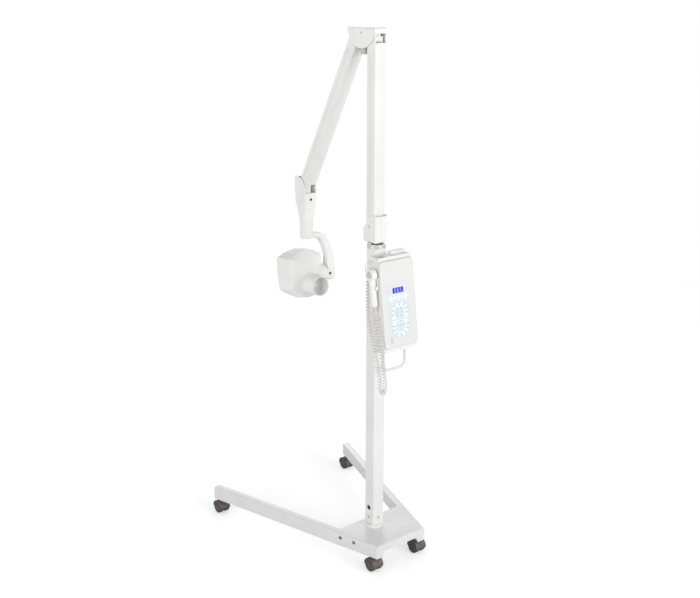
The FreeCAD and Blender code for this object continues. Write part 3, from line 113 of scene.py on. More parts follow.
GRAIN_STRETCH = {Grain.BRUSHED: (1.0, 1.0, 0.04)}


def feed(tree: NodeTree, node: Node, inputs: dict[int | str, object]) -> None:
    """Link or set inputs of a node.

    Args:
        tree: The node's tree.
        node: The node.
        inputs: What feeds each input, by its name or number: a node's first output, an output socket or a
            plain value.
    """
    for key, value in inputs.items():
        if isinstance(value, Node):
            value = next(output for output in value.outputs if output.enabled)
        if isinstance(value, NodeSocket):
            tree.links.new(value, node.inputs[key])
        else:
            node.inputs[key].default_value = value


def add_node(tree: NodeTree, kind: str, inputs: dict[int | str, object],
             **settings: object) -> Node:
    """Add a node to a tree.

    Args:
        tree: The tree.
        kind: The node's type.
        inputs: What feeds its inputs.
        **settings: The node's own settings.

    Returns:
        The node.
    """
    node = tree.nodes.new(kind)
    for name, value in settings.items():
        setattr(node, name, value)
    feed(tree, node, inputs)
    return node


@dataclass(frozen=True)
class Finish:
    """One finish of the unit and the node material that shows it."""

    name: str
    slot: str
    colour: Triple
    roughness: float = 0.4
    spread: float = 0.08
    grain: Grain = Grain.MOULD
    grain_size: float = 0.0009
    relief: float = 0.00001
    shade: float = 0.03
    scuffs: float = 0.1
    metallic: float = 0.0
    coat: float = 0.0
    gloss: float = 0.5
    glow: float = 0.0

    def material(self) -> Material:
        """Build the material once and give it."""
        found = bpy.data.materials.get(self.name)
        if found is not None:
            return found
        material = bpy.data.materials.new(self.name)
        material.use_nodes = True
        material.diffuse_color = (*self.colour, 1.0)
        tree = material.node_tree
        coords = tree.nodes.new("ShaderNodeTexCoord").outputs["Object"]
        tint = add_node(tree, "ShaderNodeValToRGB", {"Fac": self._noise(tree, coords, 9.0, 3.0)})
        shares = (1 - self.shade, 1 + self.shade / 2)
        for stop, position, share in zip(tint.color_ramp.elements, (0.3, 0.7), shares):
            stop.position = position
            stop.color = (*[min(1.0, channel * share) for channel in self.colour], 1.0)
        wear = self._wear(tree, coords)
        rubbed = add_node(tree, "ShaderNodeMix", {
            "B": (*[channel * 0.72 + 0.02 for channel in self.colour], 1.0), "Factor": wear,
            "A": tint}, data_type="RGBA")
        rough = add_node(tree, "ShaderNodeMapRange", {
            "From Min": 0.3, "From Max": 0.7, "To Min": max(0.02, self.roughness - self.spread),
            "To Max": min(1.0, self.roughness + self.spread), "Value": self._noise(tree, coords, 55.0, 4.0)})
        rougher = add_node(tree, "ShaderNodeMath", {0: wear, 1: 0.25, 2: rough},
                           operation="MULTIPLY_ADD")
        stretch = GRAIN_STRETCH.get(self.grain, (1.0, 1.0, 1.0))
        grain = self._noise(tree, coords, 1.0 / self.grain_size, 2.0, stretch)
        bump = add_node(tree, "ShaderNodeBump", {"Strength": 0.8, "Distance": self.relief, "Height": grain})
        shader = tree.nodes["Principled BSDF"]
        feed(tree, shader, {
            "Metallic": self.metallic, "Coat Weight": self.coat, "Coat Roughness": 0.06,
            "Specular IOR Level": self.gloss, "Base Color": rubbed,
            "Roughness": rougher, "Normal": bump})
        if self.glow:
            feed(tree, shader, {"Emission Color": (*self.colour, 1.0), "Emission Strength": self.glow})
        return material

    def _noise(self, tree: NodeTree, coords: NodeSocket, scale: float, detail: float,
               stretch: Triple = (1.0, 1.0, 1.0)) -> Node:
        """Add a noise pattern.

        Args:
            tree: The material's node tree.
            coords: The coordinates it reads.
            scale: Waves a metre.
            detail: Octaves of finer noise.
            stretch: Scale along each axis.

        Returns:
            The noise's node.
        """
        mapping = add_node(tree, "ShaderNodeMapping", {"Scale": stretch, "Vector": coords})
        noise = add_node(tree, "ShaderNodeTexNoise", {
            "Scale": scale, "Detail": detail, "Vector": mapping})
        return noise

    def _wear(self, tree: NodeTree, coords: NodeSocket) -> Node:
        """Add thin scuffs that break up where a wide noise is high.

        Args:
            tree: The material's node tree.
            coords: The coordinates it reads.

        Returns:
            The node that says how worn each spot is.
        """
        both = add_node(tree, "ShaderNodeMath", {
            0: self._noise(tree, coords, 260.0, 3.0, (1.0, 0.35, 0.18)),
            1: self._noise(tree, coords, 14.0, 2.0)}, operation="MULTIPLY")
        edge = add_node(tree, "ShaderNodeMapRange", {
            "From Min": 0.37, "From Max": 0.45, "To Max": self.scuffs, "Value": both})
        return edge


def printed(name: str, colour: Triple, roughness: float = 0.4,
            relief: float = 0.000005) -> Finish:
    """Give a finish of the keypad's print.

    Args:
        name: The finish's name.
        colour: The ink's colour.
        roughness: The ink's roughness.
        relief: Height of its grain, in metres.

    Returns:
        The finish.
    """
    return Finish(name, "grey_film", colour, roughness, grain_size=0.0006, relief=relief)


ARM_PAINT = Finish("Arm powder coat", "white_paint", (0.8, 0.805, 0.795), 0.38, grain=Grain.POWDER,
                   grain_size=0.0012, relief=0.000004, coat=0.1, scuffs=0.03)
COLUMN_PAINT = Finish("Column powder coat", "white_paint", (0.83, 0.835, 0.83), 0.34, grain=Grain.POWDER,
                      grain_size=0.0012, coat=0.1)
BASE_PAINT = Finish("Base gloss paint", "base_paint", (0.8, 0.805, 0.8), 0.3, spread=0.04,
                    grain=Grain.PEEL, grain_size=0.0022, relief=0.000005, coat=0.25, scuffs=0.03)
SHELL_PLASTIC = Finish("Housing plastic", "white_plastic", (0.83, 0.83, 0.82), 0.42, gloss=0.35,
                       grain_size=0.0008, scuffs=0.12)
PANEL_PLASTIC = Finish("Control panel plastic", "white_plastic", (0.76, 0.76, 0.75), gloss=0.35,
                       grain_size=0.0008)
HEAD_PLASTIC = Finish("Tube head plastic", "head_plastic", (0.86, 0.86, 0.845), 0.42, spread=0.04,
                      relief=0.000006, gloss=0.2, scuffs=0.06)
CONE_PLASTIC = Finish("Beam cone plastic", "cone_plastic", (0.88, 0.88, 0.87), 0.36, relief=0.000006)
CONE_LINER = Finish("Beam cone liner", "cone_plastic", (0.95, 0.95, 0.945), 0.5,
                    grain_size=0.001, relief=0.00002, scuffs=0.25)
FILM = Finish("Keypad film", "grey_film", (0.735, 0.75, 0.755), 0.46, grain_size=0.0006,
              relief=0.000008, scuffs=0.15)
FILM_PALE = printed("Keypad pale print", (0.68, 0.74, 0.8), 0.45, 0.000006)
FILM_WHITE = printed("Keypad white print", (0.8, 0.86, 0.9), 0.42, 0.000006)
FILM_BLUE = printed("Keypad blue print", (0.42, 0.63, 0.78), 0.42, 0.000006)
DOT_DARK = printed("Keypad dark print", (0.075, 0.07, 0.07))
DOT_BROWN = printed("Keypad brown print", (0.32, 0.19, 0.12))
DOT_CYAN = printed("Keypad cyan print", (0.04, 0.36, 0.6))
LCD_BACK = Finish("Display glass", "display", (0.015, 0.015, 0.5), 0.12, grain=Grain.SMOOTH,
                  grain_size=0.004, relief=0.000003, scuffs=0.05, coat=0.3, glow=0.3)
LCD_LIT = Finish("Display digits", "display", (0.4, 0.45, 0.95), 0.3, grain=Grain.SMOOTH,
                 grain_size=0.004, relief=0.000003, scuffs=0.05, glow=0.9)
BLOCK_PLASTIC = Finish("Elbow stop block", "dark_plastic", (0.52, 0.52, 0.51), 0.45, scuffs=0.15)
# Painted shade: a grey strip that stands in for the shadow inside the groove along the arms' parting line.
PAINTED_SEAM_SHADE = Finish("Shaded seam", "dark_plastic", (0.42, 0.42, 0.41), 0.6, gloss=0.2)
DARK_PLASTIC = Finish("Dark moulded plastic", "dark_plastic", (0.035, 0.035, 0.037), 0.45,
                      relief=0.00002, shade=0.15, scuffs=0.25)
CASTER_PLASTIC = Finish("Caster nylon", "caster_plastic", (0.125, 0.11, 0.104), 0.42,
                        grain_size=0.001, relief=0.00002, shade=0.2, scuffs=0.6)
TREAD = Finish("Wheel tread", "tread", (0.088, 0.074, 0.07), 0.62, grain=Grain.RUBBER,
               grain_size=0.0018, relief=0.00006, shade=0.25, scuffs=0.8)
STEEL = Finish("Turned steel", "steel", (0.62, 0.62, 0.61), 0.26, grain=Grain.BRUSHED,
               grain_size=0.0006, shade=0.05, metallic=1.0, scuffs=0.25)
SCREW_STEEL = Finish("Blackened screw steel", "steel", (0.07, 0.07, 0.072), 0.38, grain=Grain.BRUSHED,
                     grain_size=0.0007, relief=0.00002, metallic=0.7, scuffs=0.25)
SPRING_STEEL = Finish("Oiled spring steel", "spring_steel", (0.25, 0.25, 0.26), 0.35, grain=Grain.BRUSHED,
                      grain_size=0.0008, relief=0.00002, metallic=1.0, scuffs=0.25)
CAST_WHITE = Finish("Painted casting", "cast_white", (0.84, 0.84, 0.83), 0.36, grain=Grain.PEEL,
                    grain_size=0.002, relief=0.00003, coat=0.2, scuffs=0.25)
HANDLE_PAINT = Finish("Handle enamel", "cast_white", (0.8, 0.8, 0.79), 0.24, grain=Grain.PEEL,
                      grain_size=0.002, relief=0.00002, coat=0.4, scuffs=0.25)
BUTTON_GREY = Finish("Exposure button", "button_grey", (0.58, 0.585, 0.58), grain_size=0.0008,
                     relief=0.00002, shade=0.08, scuffs=0.25)
CORD_SHEATH = Finish("Coiled cord sheath", "cord_plastic", (0.68, 0.66, 0.61), 0.34, grain=Grain.RUBBER,
                     grain_size=0.0015, relief=0.000015, shade=0.05, scuffs=0.25)


def ramp(value: float, low: float, high: float) -> float:
    """Give how far a value is from low to high, held between 0 and 1."""
    return min(1.0, max(0.0, (value - low) / (high - low)))


def add_object(name: str, data: ID) -> Object:
    """Put an object that shows some data into the scene."""
    piece = bpy.data.objects.new(name, data)
    bpy.context.scene.collection.objects.link(piece)
    return piece


def on_both_sides(reach: float, y: float = 0.0, z: float = 0.0) -> Spots:
    """Give a spot on each side of a part and the way it faces, out along X."""
    return [(Vector((side * reach, y, z)), Vector((side, 0, 0))) for side in (-1, 1)]


def shade_by_angle(mesh: Mesh, degrees: float = 32.0) -> None:
    """Smooth every face and keep the edges that turn more than an angle sharp.

    Args:
        mesh: The mesh that is shaded.
        degrees: Edges that turn more than this stay sharp.
    """
    shell = bmesh.new()
    shell.from_mesh(mesh)
    for face in shell.faces:
        face.smooth = True
    for edge in shell.edges:
        edge.smooth = len(edge.link_faces) == 2 and edge.calc_face_angle(math.pi) < math.radians(degrees)
    shell.to_mesh(mesh)
    shell.free()


def bevel(piece: Object, width: float, steps: int, limit: float) -> None:
    """Round a piece's edges.

    Args:
        piece: The piece.
        width: Width of the rounding, in millimetres.
        steps: Facets across the rounding.
        limit: Edges that turn more than this are rounded, in degrees.
    """
    rounding = piece.modifiers.new("Edges", "BEVEL")
    rounding.width = width * MM
    rounding.segments = steps
    rounding.limit_method = "ANGLE"
    rounding.angle_limit = math.radians(limit)
    rounding.harden_normals = True


def loft(name: str, rows: list[list[Vector]], place: Matrix, degrees: float = 32.0,
         ring: bool = False, loops: bool = True) -> Object:
    """Join rows of points by strips of faces into a closed piece.

    Args:
        name: The piece's name.
        rows: Rows of as many points each, in the part's millimetres.
        place: The part's frame.
        degrees: Edges that turn more than this stay sharp.
        ring: Whether the last row joins the first. If not, the end rows are capped.
        loops: Whether each row is a closed loop.

    Returns:
        The piece, at the origin, with its place in its mesh.
    """
    count = len(rows[0])
    faces = []
    for row in range(len(rows) if ring else len(rows) - 1):
        here, after = row * count, (row + 1) % len(rows) * count
        for i in range(count if loops else count - 1):
            ahead = (i + 1) % count
            faces.append([here + i, here + ahead, after + ahead, after + i])
    if not ring:
        faces += [list(range(count)), list(range((len(rows) - 1) * count, len(rows) * count))]
    mesh = bpy.data.meshes.new(name)
    mesh.from_pydata([place @ Vector(point) for row in rows for point in row], [], faces)
    shell = bmesh.new()
    shell.from_mesh(mesh)
    bmesh.ops.remove_doubles(shell, verts=shell.verts, dist=1e-7)
    bmesh.ops.dissolve_degenerate(shell, edges=shell.edges, dist=1e-8)
    bmesh.ops.recalc_face_normals(shell, faces=shell.faces)
    shell.to_mesh(mesh)
    shell.free()
    shade_by_angle(mesh, degrees)
    return add_object(name, mesh)


def lathe(name: str, outline: Outline, place: Matrix, steps: int = 72,
          degrees: float = 32.0) -> Object:
    """Turn a profile about the Z axis of a frame.

    Args:
        name: The piece's name.
        outline: Radius and height of each corner, a closed loop or one from axis to axis.
        place: The frame it turns in.
        steps: Facets round the axis.
        degrees: Edges that turn more than this stay sharp.

    Returns:
        The turned piece.
    """
    rows = []
    for step in range(steps):
        angle = 2 * math.pi * step / steps
        rows.append([Vector((radius * math.cos(angle), radius * math.sin(angle), height))
                     for radius, height in outline])
    return loft(name, rows, place, degrees, ring=True, loops=outline[0][0] > 0 or outline[-1][0] > 0)


def rounded_rectangle(low_u: float, low_v: float, high_u: float, high_v: float, radius: float,
                      steps: int = 8) -> Outline:
    """Give the outline of a rectangle with round corners.

    Args:
        low_u: Its low edge across.
        low_v: Its low edge upwards.
        high_u: Its high edge across.
        high_v: Its high edge upwards.
        radius: Radius of its corners.
        steps: Facets of each corner.

    Returns:
        Its corners in order.
    """
    outline = []
    left, right, under, over = low_u + radius, high_u - radius, low_v + radius, high_v - radius
    corners = ((right, over, 0), (left, over, 90), (left, under, 180), (right, under, 270))
    for centre_u, centre_v, start in corners:
        for step in range(steps + 1):
            angle = math.radians(start + 90 * step / steps)
            outline.append((centre_u + radius * math.cos(angle), centre_v + radius * math.sin(angle)))
    return outline


def prism(name: str, outline: Outline, low: float, high: float,
          place: Matrix) -> Object:
    """Make a flat piece from an outline.

    Args:
        name: The piece's name.
        outline: Corners across X and Z.
        low: Its near face along Y.
        high: Its far face along Y.
        place: The frame it stands in.

    Returns:
        The piece.
    """
    return loft(name, [[Vector((u, level, v)) for u, v in outline] for level in (low, high)], place)


def outline_ring(name: str, outline: Outline, width: float, low: float, high: float,
                 place: Matrix) -> Object:
    """Make a closed band of even width inside an outline that is round about its middle.

    Args:
        name: The piece's name.
        outline: Outer corners across X and Z.
        width: Width of the band.
        low: Its near face along Y.
        high: Its far face along Y.
        place: The frame it stands in.

    Returns:
        The band.
    """
    inner = []
    for i, here in enumerate(outline):
        along = Vector(outline[(i + 1) % len(outline)]) - Vector(outline[i - 1])
        inner.append(Vector(here) + Vector((-along.y, along.x)).normalized() * width)
    rows = [[Vector((u, level, v)) for u, v in row] for row, level in
            ((outline, low), (outline, high), (inner, high), (inner, low))]
    return loft(name, rows, place, ring=True)


def soften_copy(node: str, name: str, edge: float, steps: int, limit: float) -> Object:
    """Copy a CAD node, merge its loose triangles and round its edges.

    Args:
        node: The CAD node.
        name: The new piece's name.
        edge: Width of the rounding, in millimetres.
        steps: Facets across the rounding.
        limit: Edges that turn more than this are rounded, in degrees.

    Returns:
        The softened copy.
    """
    mesh = NODES[node].data.copy()
    mesh.name = name
    mesh.materials.clear()
    custom = mesh.attributes.get("custom_normal")
    if custom is not None:
        mesh.attributes.remove(custom)
    shell = bmesh.new()
    shell.from_mesh(mesh)
    bmesh.ops.remove_doubles(shell, verts=shell.verts, dist=2e-6)
    bmesh.ops.dissolve_limit(shell, angle_limit=math.radians(0.4), verts=shell.verts, edges=shell.edges)
    shell.to_mesh(mesh)
    shell.free()
    shade_by_angle(mesh, limit)
    piece = add_object(name, mesh)
    if edge > 0:
        bevel(piece, edge, steps, limit)
    return piece


class NodeRecipe:
    """A Geometry Nodes tree built in the script, with named inputs."""

    def __init__(self, name: str, inputs: dict[str, tuple[str, float | None]]) -> None:
        """Start the tree.

        Args:
            name: The tree's name.
            inputs: Socket type and default of each named input.
        """
        self.tree = bpy.data.node_groups.new(name, "GeometryNodeTree")
        self.tree.is_modifier = True
        for way in ("INPUT", "OUTPUT"):
            self.tree.interface.new_socket("Geometry", in_out=way, socket_type="NodeSocketGeometry")
        for label, (kind, default) in inputs.items():
            socket = self.tree.interface.new_socket(label, in_out="INPUT", socket_type=kind)
            if default is not None:
                socket.default_value = default
        self.start = self.tree.nodes.new("NodeGroupInput")
        self.end = self.tree.nodes.new("NodeGroupOutput")

    def add(self, kind: str, **links: object) -> Node:
        """Add a node and feed its inputs.

        Args:
            kind: The node's type.
            **links: What feeds each input, by its name with _ for a space.

        Returns:
            The node.
        """
        return add_node(self.tree, kind, {label.replace("_", " "): value for label, value in links.items()})

    def close(self, geometry: Node) -> None:
        """End the tree in Realize Instances and Set Material."""
        real = self.add("GeometryNodeRealizeInstances", Geometry=geometry)
        dressed = self.add("GeometryNodeSetMaterial", Geometry=real,
                           Material=self.start.outputs["Finish"])
        feed(self.tree, self.end, {"Geometry": dressed})

    def grow(self, name: str, seed_mesh: Mesh, values: dict[str, object],
             degrees: float = 32.0) -> Object:
        """Run the tree on a mesh and give the result as a plain piece.

        Args:
            name: The piece's name.
            seed_mesh: The points or lines that the tree reads.
            values: What each named input is set to.
            degrees: Edges that turn more than this stay sharp.

        Returns:
            The plain piece.
        """
        holder = add_object(name + "_seed", seed_mesh)
        modifier = holder.modifiers.new("Recipe", "NODES")
        modifier.node_group = self.tree
        for item in self.tree.interface.items_tree:
            if item.item_type == "SOCKET" and item.in_out == "INPUT" and item.name in values:
                modifier[item.identifier] = values[item.name]
        graph = bpy.context.evaluated_depsgraph_get()
        graph.update()
        mesh = bpy.data.meshes.new_from_object(holder.evaluated_get(graph))
        mesh.name = name
        holder.modifiers.remove(modifier)
        bpy.data.objects.remove(holder)
        shade_by_angle(mesh, degrees)
        return add_object(name, mesh)


class StudRecipe(NodeRecipe):
    """Round studs, screw heads or printed dots on points that each face one way."""

    def __init__(self) -> None:
        """Build the tree: a disc is raised, its top narrowed and its middle sunk."""
        length = "NodeSocketFloat"
        super().__init__("Studs", {"Radius": (length, 0.004), "Height": (length, 0.002),
                                   "Top share": (length, 0.85), "Socket share": (length, 0.5),
                                   "Socket depth": (length, 0.0), "Corners": ("NodeSocketInt", 20),
                                   "Finish": ("NodeSocketMaterial", None)})
        socket = self.start.outputs
        disc = self.add("GeometryNodeMeshCircle", Vertices=socket["Corners"], Radius=socket["Radius"])
        disc.fill_type = "NGON"
        up = self.add("ShaderNodeCombineXYZ", Z=1.0)
        raised = self._lift(disc, None, up, socket["Height"])
        narrowed = self.add("GeometryNodeScaleElements", Geometry=raised,
                            Selection=raised.outputs["Top"], Scale=socket["Top share"])
        rim = self._lift(narrowed, raised.outputs["Top"], up, 0.0)
        inner = self.add("GeometryNodeScaleElements", Geometry=rim,
                         Selection=rim.outputs["Top"], Scale=socket["Socket share"])
        down = self.add("ShaderNodeCombineXYZ", Z=-1.0)
        sunk = self._lift(inner, rim.outputs["Top"], down, socket["Socket depth"])
        under = self.add("GeometryNodeFlipFaces", Mesh=disc)
        both = self.add("GeometryNodeJoinGeometry")
        for part in (sunk, under):
            feed(self.tree, both, {"Geometry": part})
        sealed = self.add("GeometryNodeMergeByDistance", Geometry=both, Distance=1e-6)
        facing = self.add("GeometryNodeInputNamedAttribute", Name="facing")
        facing.data_type = "FLOAT_VECTOR"
        turned = self.add("FunctionNodeAlignRotationToVector", Vector=facing)
        turned.axis = "Z"
        placed = self.add("GeometryNodeInstanceOnPoints", Points=socket["Geometry"],
                          Instance=sealed, Rotation=turned)
        self.close(placed)

    def _lift(self, mesh: Node, chosen: NodeSocket | None,
              way: Node, height: object) -> Node:
        """Raise the chosen faces together by a height along one way.

        Args:
            mesh: The node that gives the faces.
            chosen: Which of them are raised, or None for all.
            way: The node that gives the way.
            height: A socket or a plain number, in metres.

        Returns:
            The extruding node.
        """
        node = self.add("GeometryNodeExtrudeMesh", Mesh=mesh, Offset=way,
                        Offset_Scale=height, Individual=False)
        if chosen is not None:
            feed(self.tree, node, {"Selection": chosen})
        return node

    def on(self, name: str, spots: Spots, place: Matrix, finish: Finish,
           radius: float, height: float, top: float = 0.85, socket: float = 0.5, depth: float = 0.0,
           corners: int = 20) -> Object:
        """Grow studs on spots.

        Args:
            name: The piece's name.
            spots: Where each stands and which way it faces, in the frame's millimetres.
            place: The frame.
            finish: Its finish.
            radius: Radius in millimetres.
            height: Height in millimetres.
            top: Share of the radius that the top keeps.
            socket: Share of the top that is sunk.
            depth: How deep it is sunk, in millimetres.
            corners: Corners round the stud.

        Returns:
            The studs as one piece.
        """
        mesh = bpy.data.meshes.new(name + "_spots")
        mesh.from_pydata([place @ spot for spot, _ in spots], [], [])
        attribute = mesh.attributes.new("facing", "FLOAT_VECTOR", "POINT")
        turn = place.to_3x3()
        for item, (_, facing) in zip(attribute.data, spots):
            item.vector = (turn @ facing).normalized()
        return self.grow(name, mesh, {
            "Radius": radius * MM, "Height": height * MM, "Top share": top, "Socket share": socket,
            "Socket depth": depth * MM, "Corners": corners, "Finish": finish.material()})


class SweepRecipe(NodeRecipe):
    """A round wire swept along a line of edges."""

    def __init__(self) -> None:
        """Build the tree: the edges become a curve that a circle follows."""
        super().__init__("Swept wire", {"Wire radius": ("NodeSocketFloat", 0.0017),
                                        "Sides": ("NodeSocketInt", 8),
                                        "Finish": ("NodeSocketMaterial", None)})
        socket = self.start.outputs
        line = self.add("GeometryNodeMeshToCurve", Mesh=socket["Geometry"])
        ring = self.add("GeometryNodeCurvePrimitiveCircle", Resolution=socket["Sides"],
                        Radius=socket["Wire radius"])
        tube = self.add("GeometryNodeCurveToMesh", Curve=line,
                        Profile_Curve=ring, Fill_Caps=True)
        self.close(tube)

    def along(self, name: str, line: list[Vector], radius: float, finish: Finish,
              sides: int = 8) -> Object:
        """Sweep a wire along a line.

        Args:
            name: The piece's name.
            line: The points it follows, in metres.
            radius: Its radius, in metres.
            finish: Its finish.
            sides: Facets round it.

        Returns:
            The wire.
        """
        mesh = bpy.data.meshes.new(name + "_line")
        mesh.from_pydata(line, [(i, i + 1) for i in range(len(line) - 1)], [])
        return self.grow(name, mesh, {"Wire radius": radius, "Sides": sides,
                                      "Finish": finish.material()}, 60.0)


STUDS = StudRecipe()
SWEEP = SweepRecipe()


@dataclass
class SubAssembly:
    """A group of the unit's pieces that one class builds and dresses."""

    pieces: list[Object] = field(default_factory=list, init=False, repr=False)

    def keep(self, piece: Object, finish: Finish, body: str, *nodes: str) -> Object:
        """Dress a piece, make it ride on a body and stand for CAD nodes.

        Args:
            piece: The piece.
            finish: Its finish.
            body: The CAD body it rides on.
            *nodes: The CAD nodes it stands for.

        Returns:
            The same piece.
        """
        if not piece.data.materials:
            piece.data.materials.append(finish.material())
        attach(piece, body)
        if nodes:
            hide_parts(*nodes)
        self.pieces.append(piece)
        LOG.info("%s: %s on %s", type(self).__name__, piece.name, body)
        return piece

    def studs(self, name: str, spots: Spots, place: Matrix, finish: Finish,
              body: str, *nodes: str, **shape: float) -> None:
        """Grow studs on spots and keep them.

        Args:
            name: The piece's name.
            spots: Where each stands and which way it faces, in the frame's millimetres.
            place: The frame.
            finish: Its finish.
            body: The CAD body it rides on.
            *nodes: The CAD nodes it stands for.
            **shape: What StudRecipe.on takes beyond these.
        """
        self.keep(STUDS.on(name, spots, place, finish, **shape), finish, body, *nodes)

    def soften(self, node: str, finish: Finish, edge: float = 0.7, steps: int = 2,
               limit: float = 38.0) -> Object:
        """Replace a CAD node by a copy with rounded edges.

        Args:
            node: The CAD node.
            finish: The copy's finish.
            edge: Width of the rounding, in millimetres.
            steps: Facets across the rounding.
            limit: Edges that turn more than this are rounded, in degrees.

        Returns:
            The copy.
        """
        copy = soften_copy(node, node + "_dressed", edge, steps, limit)
        return self.keep(copy, finish, NODES[node]["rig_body"], node)

    def paint(self, finish: Finish, *nodes: str) -> None:
        """Give CAD nodes that keep their own mesh a finish.

        Args:
            finish: The finish.
            *nodes: The CAD nodes.
        """
        for node in nodes:
            piece = NODES[node]
            if not piece.data.materials:
                piece.data.materials.append(finish.material())
            for holder in piece.material_slots:
                holder.material = finish.material()
            self.pieces.append(piece)
            LOG.info("%s: %s keeps its CAD shape", type(self).__name__, node)


@dataclass
class Studio:
    """The photograph's camera, its pale floor and its soft light."""

    eye: Triple = (-2.1865, -2.9133, 2.0665)
    pitch: float = 17.03
    azimuth: float = -37.68
    lens: float = 51.43
    floor: float = 4.4
    aim: Triple = (0.0, 0.0, 0.9)

    def build(self) -> None:
        """Make the camera, the floor, the world and the lamps."""
        self._camera()
        self._floor()
        self._world()
        self._lamp("Key softbox", (1.6, -6.0, 2.2), 3.4, 162.0)
        self._lamp("Side softbox", (-6.0, -1.0, 2.0), 3.0, 92.0)
        self._lamp("Rear softbox", (3.5, 5.5, 2.4), 3.0, 60.0)
        bpy.context.scene.view_settings.view_transform = "Standard"
        LOG.info("Studio: camera, floor, world and lamps")

    def _camera(self) -> None:
        """Make the camera."""
        data = bpy.data.cameras.new("Photo camera")
        data.sensor_width = 36.0
        data.lens = self.lens
        data.clip_start = 0.05
        data.clip_end = 60.0
        camera = add_object("Photo camera", data)
        camera.location = self.eye
        camera.rotation_euler = (math.radians(90 - self.pitch), 0.0, math.radians(self.azimuth))
        bpy.context.scene.camera = camera

    def _floor(self) -> None:
        """Make the floor, which shows white where no shadow falls."""
        mesh = bpy.data.meshes.new("floor")
        corners = 64
        ring = [(self.floor * math.cos(2 * math.pi * i / corners),
                 self.floor * math.sin(2 * math.pi * i / corners), 0.0) for i in range(corners)]
        mesh.from_pydata(ring, [], [list(range(corners))])
        material = bpy.data.materials.new("Studio floor")
        material.use_nodes = True
        tree = material.node_tree
        coords = tree.nodes.new("ShaderNodeTexCoord")
        noise = add_node(tree, "ShaderNodeTexNoise", {"Scale": 3.0, "Vector": coords.outputs["Object"]})
        tint = add_node(tree, "ShaderNodeValToRGB", {"Fac": noise})
        for stop, grey in zip(tint.color_ramp.elements, (0.84, 0.87)):
            stop.color = (grey, grey, grey, 1.0)
        shader = tree.nodes["Principled BSDF"]
        feed(tree, shader, {"Roughness": 0.9, "Specular IOR Level": 0.1, "Base Color": tint})
        path = tree.nodes.new("ShaderNodeLightPath")
        seen = add_node(tree, "ShaderNodeMath", {0: path.outputs["Is Camera Ray"], 1: 0.46},
                        operation="MULTIPLY")
        lift = add_node(tree, "ShaderNodeEmission", {"Strength": seen})
        both = add_node(tree, "ShaderNodeAddShader", {0: shader, 1: lift})
        feed(tree, tree.nodes["Material Output"], {"Surface": both})
        mesh.materials.append(material)
        add_object("floor", mesh)

    def _world(self) -> None:
        """Make a world that is white to the eye and to gloss, and lights the rest dimmer from above."""
        world = bpy.data.worlds.new("Studio world")
        world.use_nodes = True
        bpy.context.scene.world = world
        tree = world.node_tree
        coords = tree.nodes.new("ShaderNodeTexCoord")
        split = add_node(tree, "ShaderNodeSeparateXYZ", {"Vector": coords.outputs["Generated"]})
        dimmer = add_node(tree, "ShaderNodeMapRange", {
            "To Min": 0.98, "To Max": 0.2, "Value": split.outputs["Z"]})
        soft = tree.nodes["Background"]
        feed(tree, soft, {"Strength": dimmer, "Color": (1.0, 1.0, 1.0, 1.0)})
        white = add_node(tree, "ShaderNodeBackground", {"Color": (1.0, 1.0, 1.0, 1.0), "Strength": 1.0})
        path = tree.nodes.new("ShaderNodeLightPath")
        share = path.outputs["Is Camera Ray"]
        for label in ("Is Glossy Ray", "Is Transmission Ray"):
            share = add_node(tree, "ShaderNodeMath", {0: share, 1: path.outputs[label]},
                             operation="MAXIMUM")
        mix = add_node(tree, "ShaderNodeMixShader", {
            "Fac": share, 1: soft, 2: white})
        feed(tree, tree.nodes["World Output"], {"Surface": mix})

    def _lamp(self, name: str, spot: Triple, size: float, power: float) -> None:
        """Hang a square soft lamp.

        Args:
            name: The lamp's name.
            spot: Where it hangs.
            size: Its side, in metres.
            power: Its power, in watts.
        """
        data = bpy.data.lights.new(name, "AREA")
        data.shape = "SQUARE"
        data.size = size
        data.energy = power
        lamp = add_object(name, data)
        lamp.location = spot
        lamp.rotation_euler = (Vector(self.aim) - Vector(spot)).to_track_quat("-Z", "Y").to_euler()
        lamp.visible_camera = False


# Route of the coiled cord from its gland to the handset, in millimetres from the column's axis.
LEAD_ROUTE = [(-58, -38, 1171), (-78, -37, 1171), (-78, -33, 1147), (-67, -35.5, 1125), (-69, -38, 1104)]
COIL_ROUTE = [(-73, -43, 1062), (-75, -45, 1012), (-75, -53, 962), (-73, -68, 908),
              (-70, -84, 855), (-68, -96, 808), (-66, -104, 765), (-66, -105, 722), (-71, -127, 709),
              (-77, -149, 722), (-78, -147, 770), (-77, -138, 820), (-75, -124, 870), (-71, -105, 915)]


